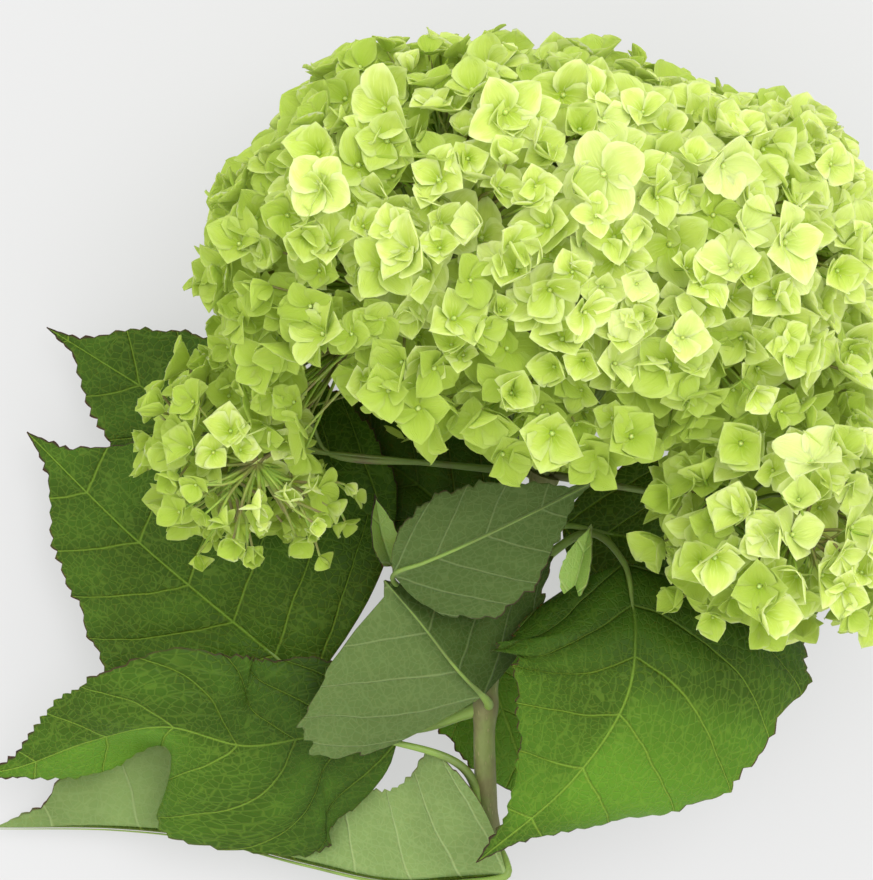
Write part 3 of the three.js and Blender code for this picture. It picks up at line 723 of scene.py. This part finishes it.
for seed, leaf in enumerate(LEAVES):
    young = leaf["node"].startswith("young")
    blade, midrib, ahead, up = blade_mesh(leaf, seed)
    joint, base = route_mm[1 + leaf["joint"]], midrib[0]
    lead_in = base - ahead[0] * leaf.get("lead", LEAF_SHAPE["lead"]) * np.linalg.norm(base - joint)
    lead_in += (joint - lead_in) * 0.25 - np.array([0, 0, leaf.get("dip", 0)])
    thick = LEAF_SHAPE["young_thick"] if young else 1.0
    inside = int(LEAF_SHAPE["into_blade"] * len(midrib))
    rib_radii = np.interp(np.linspace(0, 1, len(midrib)), (0, 0.16, 1), LEAF_MM["rib_radii"]) * thick
    ribs = midrib - up * (LEAF_MM["rib_below"] * thick + rib_radii * 0.8)[:, None]
    stalk_points, _ = smooth_route([joint, lead_in, base, ribs[inside]], 40)
    stalk_ends = (LEAF_MM["stalk_foot"] * thick, LEAF_MM["stalk"] / 2 * thick, rib_radii[inside])
    stalk_radii = np.interp(np.linspace(0, 1, 39), (0, 0.12, 1), stalk_ends)
    route = np.concatenate([stalk_points[:-1], ribs[inside:]])
    radii = np.concatenate([stalk_radii, rib_radii[inside:]])
    route[39:, 2] = np.maximum(route[39:, 2], radii[39:] + 0.1)
    rib = shoots("leaf_stalk", [(at_home(route), radii * MM)], 10, LEAF_STALK_SKIN)
    rib_mesh = rib.data
    bpy.data.objects.remove(rib)
    skins = [YOUNG_SKIN, YOUNG_SKIN] if young else [LEAF_TOP_SKIN, LEAF_BELOW_SKIN]
    leaf_piece = joined(leaf["node"] + "_blade", [(blade, 0), (rib_mesh, 2)], skins + [LEAF_STALK_SKIN])
    stands_for(leaf_piece, "young_leaves" if young else "leaves", leaf["node"])

# ---------------------------------------------------------------- florets
# Some seventeen hundred florets, each with three or four thin petals around a bead of a bud on its own thread
# of a stalk. They crowd the heads in clusters, most of them cupped, the oldest open, and the last still shut.
HEAD_MIDDLE_MM = (16, 134, 76)
HEAD_FULLNESS = 2.4
OPEN_BELOW = -0.78
SINK_MM = 11
SINK_RANGE = (0.4, 1.4)
SIZE_RANGE = (0.72, 1.22)
TIPPED = 0.7
THREAD_MM = (1.4, 0.8)
TONE_SPREAD = 0.26
# Painted light and shade: the florets are palest where the head faces up and to the right, and deeper towards
# its ends. The painted light and tone is 1 where pale and -1 where deep.
PAINTED_LIGHT_ACROSS = np.array([0.5, 0.2, 1.0])
PAINTED_LIGHT_MIDDLE = -0.8
PAINTED_SHADE_TO_ENDS = 0.5
DEEPEST_PAINTED_SHADE = -0.9
TURNED_UP = 0.4
PRESSED_FROM_MM = 8
LUMPS_MM = 6
# Where the last to open are found, how many of them are missing, and how they differ from the rest.
LATE = {"beyond": 0.35, "missing": 0.3, "size": 0.78, "out_mm": 2}
# Where the crowd parts, seen from above: a place, how wide, how deep, or no depth where it is open, and how
# much painted shade deepens the green there.
HOLLOWS_ABOVE_MM = 20
HOLLOWS_MM = [(-48, 101, 11, None, 0), (-39, 84, 15, None, 0), (-45, 177, 2.5, None, 0), (64, 76, 3, None, 0),
              (58, 142, 10, 12, 1.3), (71, 115, 9, 14, 1.3), (54, 86, 9, 12, 1.1), (-98, 190, 30, 14, 0),
              (-76, 172, 22, 5, 0), (75, 196, 32, 5, 0), (28, 207, 40, 6, 0), (66, 193, 20, 6, 0),
              (-86, 118, 12, 8, 0.4), (-50, 118, 18, 1, 0.9), (4, 120, 12, 3, 0.7), (-22, 166, 9, 5, 0.7)]
# The head's florets are a deeper green below this height, by this much over this far: painted shade on the
# lower part of the head.
SHADE_BELOW_MM = {"height": 118, "over": 30, "by": 0.65}
PETAL_THICK = 0.03
PETAL_ROWS = (0.0, 0.2, 0.42, 0.62, 0.8, 0.93, 1.0)
PETAL_COLUMNS = (-1.0, -0.55, 0.0, 0.55, 1.0)
PETAL_BODY = (196, 212, 104)
PETAL_HEART = (160, 184, 56)
PETAL_EDGE = (222, 232, 164)
PETAL_LIT_AND_PALE = (220, 229, 160)
PETAL_SHADED_AND_DEEP = (150, 174, 58)
BEAD_PALE = (214, 228, 150)
BEAD_GREEN = (178, 204, 84)
THREAD_GREEN = (158, 188, 74)
THREAD_BROWN = (136, 128, 78)

# Each kind: petals, how steeply they rise at base and tip in degrees, how broad, pointed and hollow they are.
FLORET_KINDS = [
    dict(petals=4, base=10, tip=0, broad=0.53, point=0.55, hollow=0.2),
    dict(petals=4, base=20, tip=4, broad=0.5, point=0.65, hollow=0.3),
    dict(petals=4, base=28, tip=10, broad=0.47, point=0.8, hollow=0.38),
    dict(petals=4, base=26, tip=42, broad=0.5, point=0.8, hollow=0.45),
    dict(petals=4, base=38, tip=20, broad=0.5, point=1.0, hollow=0.42),
    dict(petals=4, base=40, tip=54, broad=0.55, point=0.85, hollow=0.45),
    dict(petals=4, base=46, tip=34, broad=0.56, point=1.1, hollow=0.45),
    dict(petals=3, base=34, tip=34, broad=0.62, point=0.85, hollow=0.42),
    dict(petals=4, base=54, tip=62, broad=0.57, point=0.9, hollow=0.45),
    dict(petals=4, base=30, tip=-6, broad=0.47, point=1.1, hollow=0.36),
    dict(petals=4, base=60, tip=104, broad=0.6, point=0.7, hollow=0.45),
    dict(petals=3, base=66, tip=120, broad=0.78, point=0.7, hollow=0.5),
]
OPEN, CUPPED, LATEST = (1, 2, 3, 4, 9), (3, 4, 5, 6, 7, 8), (5, 7, 10, 11)
LATEST_SIDE = (0.45, -0.85, 0.28)


def petal(kind, rng):
    """One petal along +X from the floret's middle, 1 long: its points, faces, and places across and along."""
    rows, columns = np.array(PETAL_ROWS), np.array(PETAL_COLUMNS)
    fine = np.linspace(0, 1, 41)
    rise = np.radians(kind["base"] + rng.uniform(-7, 7) + (kind["tip"] - kind["base"]) * fine**1.3)
    out = np.concatenate([[0], np.cumsum(np.cos(rise[1:]) / 40)])
    height = np.concatenate([[0], np.cumsum(np.sin(rise[1:]) / 40)])
    along, across = np.meshgrid(rows, columns, indexing="ij")
    broad = kind["broad"] * rng.uniform(0.9, 1.1)
    half = broad * np.sin(math.pi * along**0.9) ** kind["point"]
    half = np.maximum(half, 0.16 * (1 - along)) + 0.012
    lean = rng.uniform(-0.09, 0.09)
    slope = np.interp(along, fine, rise)
    lift = kind["hollow"] * half * across**2 * rng.uniform(0.7, 1.3)
    lift += rng.uniform(-0.3, 0.3) * across * half + rng.uniform(-0.07, 0.07) * across * np.sin(along * 5)
    middle = np.stack([np.interp(along, fine, out), across * half + lean * along**2,
                       np.interp(along, fine, height)], axis=-1)
    normal = np.stack([-np.sin(slope), np.zeros_like(slope), np.cos(slope)], axis=-1)
    middle += normal * lift[..., None]
    middle[..., 0] += 0.04
    inner = (slice(1, -1), slice(1, -1))
    upper, lower = middle.copy(), middle[inner] - normal[inner] * PETAL_THICK / 2
    upper[inner] += normal[inner] * PETAL_THICK / 2
    quads, _ = sheet_faces(len(rows), len(columns))
    places = np.stack([across * 0.5 + 0.5, along], axis=-1)
    places = np.concatenate([places.reshape(-1, 2), places[inner].reshape(-1, 2)])
    return np.concatenate([upper.reshape(-1, 3), lower.reshape(-1, 3)]), quads, places


def bead():
    """The bud in the middle, as its points and faces."""
    ring = [(math.cos(a), math.sin(a)) for a in np.arange(6) * math.tau / 6]
    points = [(0, 0, 0.0)] + [(x * 0.085, y * 0.085, 0.08) for x, y in ring] + [(0, 0, 0.17)]
    sides = [(0, 1 + (i + 1) % 6, 1 + i) for i in range(6)] + [(7, 1 + i, 1 + (i + 1) % 6) for i in range(6)]
    return np.array(points), sides


def floret(number, kind):
    """One floret 2 across, facing +Z. Its faces hold what they are: 0 petal, 1 bead."""
    rng = np.random.default_rng(500 + number)
    points, faces, places, parts, starts = [], [], [], [], []

    def put(new_points, new_faces, new_places, part):
        start = sum(len(p) for p in points)
        if part == 0:
            starts.append(start)
        points.append(new_points)
        faces.extend([tuple(int(corner) + start for corner in face) for face in new_faces])
        places.append(new_places)
        parts.extend([part] * len(new_faces))

    for i in range(kind["petals"]):
        one, quads, own = petal(kind, rng)
        turn = math.tau * i / kind["petals"] + rng.uniform(-0.16, 0.16)
        size = rng.uniform(0.82, 1.12)
        turned = one @ np.array(Matrix.Rotation(-turn, 3, "Z")) * size
        turned[:, 2] += 0.03 * (i % 2)
        put(turned, quads[:, ::-1], own, 0)
    one, sides = bead()
    put(one, sides, np.full((len(one), 2), 0.5), 1)
    mesh = mesh_from(f"floret_{number:02d}", np.concatenate(points), faces)
    loops = np.empty(len(mesh.loops), int)
    mesh.loops.foreach_get("vertex_index", loops)
    mesh.uv_layers.new(name="petal").data.foreach_set("uv", np.concatenate(places)[loops].ravel())
    mesh.attributes.new("part", "INT", "FACE").data.foreach_set("value", parts)
    sharpen_rims(mesh, len(PETAL_ROWS), len(PETAL_COLUMNS), starts)
    return bpy.data.objects.new(mesh.name, mesh)


floret_kinds = bpy.data.collections.new("floret_kinds")
for number, kind in enumerate(FLORET_KINDS):
    floret_kinds.objects.link(floret(number, kind))

# The petals glow faintly in their own colour: painted light standing in for light that passes through them.
PETAL_SKIN, tree, shader = new_material(
    "petal_skin", Roughness=0.55, Specular_IOR_Level=0.12, Emission_Strength=0.13, Subsurface_Weight=0.5,
    Subsurface_Scale=0.0004, Subsurface_Radius=(0.9, 1.0, 0.4), Sheen_Weight=0.04, Sheen_Roughness=0.4)
on_petal = add(tree, "ShaderNodeUVMap", uv_map="petal")
u, v, _ = add(tree, "ShaderNodeSeparateXYZ", {0: on_petal.outputs[0]}).outputs
from_middle = maths(tree, "ABSOLUTE", maths(tree, "MULTIPLY_ADD", u, 2.0, -1.0))
skin = mottled(tree, 120.0, 2600.0)
tone = add(tree, "ShaderNodeAttribute", attribute_name="tone").outputs["Fac"]
drawn_out = add(tree, "ShaderNodeMapping", {"Vector": on_petal.outputs[0], "Scale": (9.0, 1.2, 1.0)})
rays = add(tree, "ShaderNodeTexNoise", {"Vector": drawn_out.outputs[0], "Scale": 1.6, "Detail": 3.0})
# The petal's base is a greener heart: partly its own colour, partly painted shade in the cup.
colour = blend_colours(tree, ramp(tree, v, 0.02, 0.6), linear(*PETAL_HEART), linear(*PETAL_BODY))
outer = maths(tree, "MAXIMUM", ramp(tree, from_middle, 0.45, 1.0), ramp(tree, v, 0.7, 1.0))
# Towards the pale colour as the painted light and tone rises above 0, and the deep one as it falls below:
# mostly painted light and painted shade, with the large florets' paleness and the random spread their own.
for mask, amount, towards in (
        (outer, 0.75, PETAL_EDGE), (ramp(tree, rays.outputs["Fac"], 0.5, 0.72), 0.35, PETAL_EDGE),
        (ramp(tree, skin["Blotches"], 0.45, 0.75), 0.3, PETAL_HEART),
        (ramp(tree, tone, 0.0, 1.0), 0.8, PETAL_LIT_AND_PALE), (ramp(tree, tone, 0.0, -1.0), 0.85, PETAL_SHADED_AND_DEEP)):
    colour = tint(tree, colour, mask, amount, towards)
tree.links.new(colour, shader.inputs["Base Color"])
tree.links.new(colour, shader.inputs["Emission Color"])
tree.links.new(bump(tree, rays.outputs["Fac"], 0.0006, 0.6), shader.inputs["Normal"])

BEAD_SKIN, tree, shader = new_material(
    "bead_skin", Roughness=0.4, Specular_IOR_Level=0.5, Subsurface_Weight=0.2, Subsurface_Scale=0.001)
skin = mottled(tree, 700.0, 3000.0)
colour = blend_colours(tree, skin["Blotches"], linear(*BEAD_PALE), linear(*BEAD_GREEN))
tree.links.new(colour, shader.inputs["Base Color"])

THREAD_SKIN = two_tone_skin(
    "thread_skin", THREAD_GREEN, THREAD_BROWN, (0.4, 0.65), (90.0, 3000.0), 0,
    Roughness=0.5, Specular_IOR_Level=0.4, Subsurface_Weight=0.15, Subsurface_Scale=0.001)

# Stands a floret on every point, of the point's own kind and size, facing its way, spun and tipped a little.
cluster_tree, given, result = group_tree(
    "floret_cluster", "GeometryNodeTree",
    [("Places", "NodeSocketGeometry", None), ("Kinds", "NodeSocketCollection", None),
     ("Tip", "NodeSocketFloat", 0.35), ("Seed", "NodeSocketInt", 0), ("Petals", "NodeSocketMaterial", None),
     ("Beads", "NodeSocketMaterial", None)],
    [("Florets", "NodeSocketGeometry")])


def held_value(tree, name, kind):
    return add(tree, "GeometryNodeInputNamedAttribute", {"Name": name}, data_type=kind).outputs["Attribute"]


facing = add(cluster_tree, "FunctionNodeAlignRotationToVector", {
    "Vector": held_value(cluster_tree, "faces", "FLOAT_VECTOR")}, axis="Z")
less = maths(cluster_tree, "MULTIPLY", given.outputs["Tip"], -1.0)
lowest_turn = add(cluster_tree, "ShaderNodeCombineXYZ", {"X": less, "Y": less, "Z": 0.0}).outputs[0]
highest_turn = add(cluster_tree, "ShaderNodeCombineXYZ", {
    "X": given.outputs["Tip"], "Y": given.outputs["Tip"], "Z": math.tau}).outputs[0]
turns = add(cluster_tree, "FunctionNodeRandomValue", {
    "Min": lowest_turn, "Max": highest_turn, "Seed": given.outputs["Seed"]}, data_type="FLOAT_VECTOR")
spin = add(cluster_tree, "FunctionNodeEulerToRotation", {"Euler": turns.outputs[0]})
turned = add(cluster_tree, "FunctionNodeRotateRotation", {
    "Rotation": facing.outputs[0], "Rotate By": spin.outputs[0]}, rotation_space="LOCAL")
kinds = add(cluster_tree, "GeometryNodeCollectionInfo", {
    "Collection": given.outputs["Kinds"], "Separate Children": True, "Reset Children": True})
stood = add(cluster_tree, "GeometryNodeInstanceOnPoints", {
    "Points": given.outputs["Places"], "Instance": kinds.outputs[0], "Pick Instance": True,
    "Instance Index": held_value(cluster_tree, "kind", "INT"), "Rotation": turned.outputs[0],
    "Scale": held_value(cluster_tree, "size", "FLOAT")})
made = add(cluster_tree, "GeometryNodeRealizeInstances", {"Geometry": stood.outputs[0]}).outputs[0]
for part, skin_name in enumerate(("Petals", "Beads")):
    compare = cluster_tree.nodes.new("FunctionNodeCompare")
    compare.data_type, compare.operation = "INT", "EQUAL"
    ints = [socket for socket in compare.inputs if socket.type == "INT"]
    cluster_tree.links.new(held_value(cluster_tree, "part", "INT"), ints[0])
    ints[1].default_value = part
    made = add(cluster_tree, "GeometryNodeSetMaterial", {
        "Geometry": made, "Selection": compare.outputs[0], "Material": given.outputs[skin_name]}).outputs[0]
cluster_tree.links.new(made, result.inputs[0])


def spiral(count, rng):
    """Directions spread evenly over a ball about its Y axis, each a little out of place."""
    number = np.arange(count)
    y = 1 - 2 * (number + 0.5) / count
    ring = np.sqrt(1 - y * y)
    turn = number * math.pi * (3 - math.sqrt(5))
    directions = np.stack([ring * np.cos(turn), y, ring * np.sin(turn)], axis=1)
    directions += rng.normal(0, 0.8 / math.sqrt(count), directions.shape)
    return directions / np.linalg.norm(directions, axis=1)[:, None]


class Florets:
    """The places of a head's florets, in the plant's own millimetres."""

    def __init__(self, name, middle, half, seed):
        self.name, self.middle, self.half = name, np.array(middle, float), np.array(half, float)
        self.rng = np.random.default_rng(seed)
        self.at, self.faces, self.size, self.kind, self.tone = [], [], [], [], []

    def on_surface(self, direction):
        reach = (np.abs(direction) ** HEAD_FULLNESS).sum() ** (1 / HEAD_FULLNESS)
        return direction / reach

    def outwards(self, on_head):
        normal = np.sign(on_head) * np.abs(on_head) ** (HEAD_FULLNESS - 1) / self.half
        return normal / np.linalg.norm(normal)

    def stand(self, on_head, sink, size, kinds, tone, faces=None):
        seed = Vector(on_head + self.middle * 0.01)
        lump = (noise.noise(seed * 2.3) + 0.6 * noise.noise(seed * 5.1)) * LUMPS_MM
        lump *= min(1, self.half[0] / 70)
        normal = self.outwards(on_head)
        at = self.middle + on_head * self.half + normal * (lump - sink)
        for x, y, radius, depth, hollow_shade in HOLLOWS_MM:
            away = math.hypot(at[0] - x, at[1] - y) / radius
            if depth is None and away < 1:
                return
            if depth and at[2] > HOLLOWS_ABOVE_MM:
                at = at - normal * depth * math.exp(-away * away)
                # Painted shade in the hollow.
                tone -= hollow_shade * math.exp(-away * away)
        if self.name == "head":
            below = (SHADE_BELOW_MM["height"] - at[1]) / SHADE_BELOW_MM["over"]
            tone -= SHADE_BELOW_MM["by"] * min(max(below, 0), 1)
        self.at.append(at)
        if faces is None:
            faces = normal + np.array([0, 0, TURNED_UP * (normal[2] > -0.2)])
        self.faces.append(faces / np.linalg.norm(faces))
        self.size.append(size)
        # Painted light across the head, and painted shade towards its ends.
        tone += max(PAINTED_LIGHT_ACROSS @ on_head - PAINTED_SHADE_TO_ENDS * on_head[1] ** 2 + PAINTED_LIGHT_MIDDLE, DEEPEST_PAINTED_SHADE)
        self.kind.append(int(self.rng.choice(kinds)))
        self.tone.append(tone)

    def crowd(self, count, size, sink, kinds, tone, latest=None):
        """Florets all over. The latest to open, on one side, are small, and stand apart on long threads."""
        for direction in spiral(count, self.rng):
            own = size * self.rng.uniform(*SIZE_RANGE)
            late = latest is not None and direction @ np.array(latest) > LATE["beyond"]
            if direction[1] < OPEN_BELOW and not late or late and self.rng.random() < LATE["missing"]:
                continue
            own_sink = sink * self.rng.uniform(*SINK_RANGE) - LATE["out_mm"] * late
            self.stand(self.on_surface(direction), own_sink, own * (LATE["size"] if late else 1),
                       LATEST if late else kinds, tone + self.rng.normal(0, TONE_SPREAD))


florets = {"head": Florets("head", HEAD_MIDDLE_MM, HEAD_HALF_MM, 11)}
for name, side in SIDE_HEADS.items():
    middle = np.array(HEAD_MIDDLE_MM) + np.array(HEAD_HALF_MM) * side["share"]
    florets[name] = Florets(name, middle, [side["half_mm"]] * 3, 12 if name == "left" else 13)

# Lower tones here are painted shade: on the deeper layers, which sit under the outer florets, and on the side
# heads' outer layers.
florets["head"].crowd(count=1000, size=9.0, sink=SINK_MM, kinds=OPEN + CUPPED, tone=0.0)
florets["head"].crowd(count=600, size=10.2, sink=SINK_MM + 8, kinds=OPEN, tone=-0.3)
florets["left"].crowd(count=150, size=7.2, sink=SINK_MM, kinds=CUPPED, tone=-0.35, latest=LATEST_SIDE)
florets["left"].crowd(count=50, size=7.0, sink=SINK_MM + 6, kinds=OPEN, tone=-0.5)
florets["right"].crowd(count=170, size=9.2, sink=SINK_MM, kinds=CUPPED, tone=-0.1)
florets["right"].crowd(count=70, size=8.6, sink=SINK_MM + 7, kinds=OPEN, tone=-0.3)

LARGE_SINK_MM = 4.0
LARGE_TURNED_UP = 0.5
# The largest, which stand out from the rest: where on their head, how large, of which kinds, how pale.
LARGE_FLORETS = [
    ("head", (0.16, 0.33), 13.0, (0,), 0.15), ("head", (-0.44, 0.62), 12.5, (1,), 0.2),
    ("head", (-0.11, 0.6), 12.0, (2,), 0.2), ("head", (0.69, 0.08), 13.0, (4,), 0.0),
    ("head", (-0.36, 0.03), 11.5, (3,), 0.2), ("head", (0.02, -0.68), 11.5, (6,), 0.5),
    ("head", (-0.12, -0.78), 10.5, (4,), 0.3), ("head", (0.24, -0.72), 11.0, (6,), 0.3),
    ("head", (0.05, 0.72), 11.0, (1,), 0.1), ("head", (0.5, 0.4), 11.5, (3,), 0.3),
    ("head", (-0.6, 0.28), 10.5, (1,), 0.5), ("head", (-0.62, -0.3), 11.0, (2,), 0.8),
    ("right", (-0.62, -0.24), 10.5, (6,), 0.3), ("right", (-0.25, -0.62), 10.5, (5,), 0.4),
    ("right", (0.1, 0.45), 11.5, (2,), 0.5), ("right", (-0.15, -0.05), 10.0, (6,), 0.2),
]
for name, (x, y), size, kinds, tone in LARGE_FLORETS:
    z = (1 - abs(x) ** HEAD_FULLNESS - abs(y) ** HEAD_FULLNESS) ** (1 / HEAD_FULLNESS)
    spot = np.array([x, y, z])
    normal = florets[name].outwards(spot) + np.array([0, 0, LARGE_TURNED_UP])
    florets[name].stand(spot, LARGE_SINK_MM, size, kinds, tone, normal)


def pressed(mesh):
    """Lays what would reach below the surface flat upon it."""
    co = np.empty(len(mesh.vertices) * 3, np.float32)
    mesh.vertices.foreach_get("co", co)
    co = co.reshape(-1, 3)
    low = PRESSED_FROM_MM * MM
    co[:, 2] = np.where(co[:, 2] < low, low * np.exp((co[:, 2] - low) / low), co[:, 2])
    mesh.vertices.foreach_set("co", co.ravel())
    mesh.update()


for head in heads.values():
    own = florets[head.name]
    places, own_middle, threads = at_home(own.at), at_home(own.middle), []
    nearest = np.argmin(np.linalg.norm(places[:, None] - head.middles[None], axis=2), axis=1)
    for number, node in enumerate(head.clusters):
        chosen = np.flatnonzero(nearest == number)
        mesh = bpy.data.meshes.new(node)
        mesh.from_pydata(places[chosen].tolist(), [], [])
        for label, kind, values, field in (
                ("faces", "FLOAT_VECTOR", own.faces, "vector"),
                ("size", "FLOAT", np.array(own.size) * MM, "value"),
                ("kind", "INT", own.kind, "value"), ("tone", "FLOAT", own.tone, "value")):
            held = mesh.attributes.new(label, kind, "POINT")
            held.data.foreach_set(field, np.array(values)[chosen].ravel())
        cluster = apply_nodes(plain_piece(node + "_petals", mesh), cluster_tree, {
            "Kinds": floret_kinds, "Tip": TIPPED, "Seed": number, "Petals": PETAL_SKIN, "Beads": BEAD_SKIN})
        pressed(cluster.data)
        stands_for(cluster, "petals", node)
        hub = head.middles[number] + (own_middle - head.middles[number]) * STALK_MM["twig_end"]
        for place in places[chosen]:
            bend = hub + (place - hub) * 0.55 + own.rng.normal(0, 1.5, 3) * MM
            points, _ = smooth_route([hub, bend, place], 7)
            threads.append((points, np.linspace(THREAD_MM[0], THREAD_MM[1], 7) / 2 * MM))
    thread_piece = shoots(f"floret_threads_{head.name}", threads, 5, THREAD_SKIN)
    pressed(thread_piece.data)
    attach(thread_piece, "root")
for made in list(floret_kinds.objects):
    bpy.data.objects.remove(made)
bpy.data.collections.remove(floret_kinds)

# ---------------------------------------------------------------- the studio
# A wide pale board under the flower, soft light from above, and a camera that looks straight down from far
# enough that nothing is stretched.
FLOOR_GREY = (128, 128, 128)
FLOOR_FLECK = (120, 120, 120)
VIEW_MIDDLE_MM = (-15.15, 82.5)
CAMERA_HEIGHT = 1.5
LENS = 194.5
# The board's glow is painted light: it lifts the shadows on the board.
BOARD_GLOW = 0.53
SKY_LIGHT = 1.2
# Each light: where it comes from, how wide it is in degrees, and how strong.
LIGHTS = {"key": ((0.5, 0.4, 1.3), 36, 1.3), "fill": ((-1.1, 0.4, 1.6), 60, 0.3)}

BOARD, tree, shader = new_material(
    "board", Roughness=0.9, Specular_IOR_Level=0.0, Emission_Color=(1, 1, 1, 1), Emission_Strength=BOARD_GLOW)
skin = mottled(tree, 3.0, 700.0)
colour = tint(tree, linear(*FLOOR_GREY), skin["Grain"], 0.04, FLOOR_FLECK)
tree.links.new(colour, shader.inputs["Base Color"])
bpy.ops.mesh.primitive_plane_add(size=8)
floor = bpy.context.object
floor.name = "board"
floor.data.materials.append(BOARD)

world = bpy.data.worlds.new("studio")
bpy.context.scene.world = world
world.use_nodes = True
world.node_tree.nodes["Background"].inputs["Color"].default_value = (1, 1, 1, 1)
world.node_tree.nodes["Background"].inputs["Strength"].default_value = SKY_LIGHT

middle = Vector(HOME) + Vector((VIEW_MIDDLE_MM[0], VIEW_MIDDLE_MM[1], 60)) * MM
for name, (offset, spread, power) in LIGHTS.items():
    light = bpy.data.lights.new(name, "SUN")
    light.angle, light.energy = math.radians(spread), power
    lamp = bpy.data.objects.new(name, light)
    lamp.location = middle + Vector(offset)
    lamp.rotation_euler = (-Vector(offset)).to_track_quat("-Z", "Y").to_euler()
    bpy.context.scene.collection.objects.link(lamp)

camera_data = bpy.data.cameras.new("above")
camera_data.lens, camera_data.sensor_width, camera_data.sensor_fit = LENS, 36, "HORIZONTAL"
camera = bpy.data.objects.new("above", camera_data)
camera.location = (HOME[0] + VIEW_MIDDLE_MM[0] * MM, HOME[1] + VIEW_MIDDLE_MM[1] * MM, CAMERA_HEIGHT)
bpy.context.scene.collection.objects.link(camera)
bpy.context.scene.camera = camera
bpy.context.scene.view_settings.view_transform = "Standard"

bpy.context.view_layer.update()
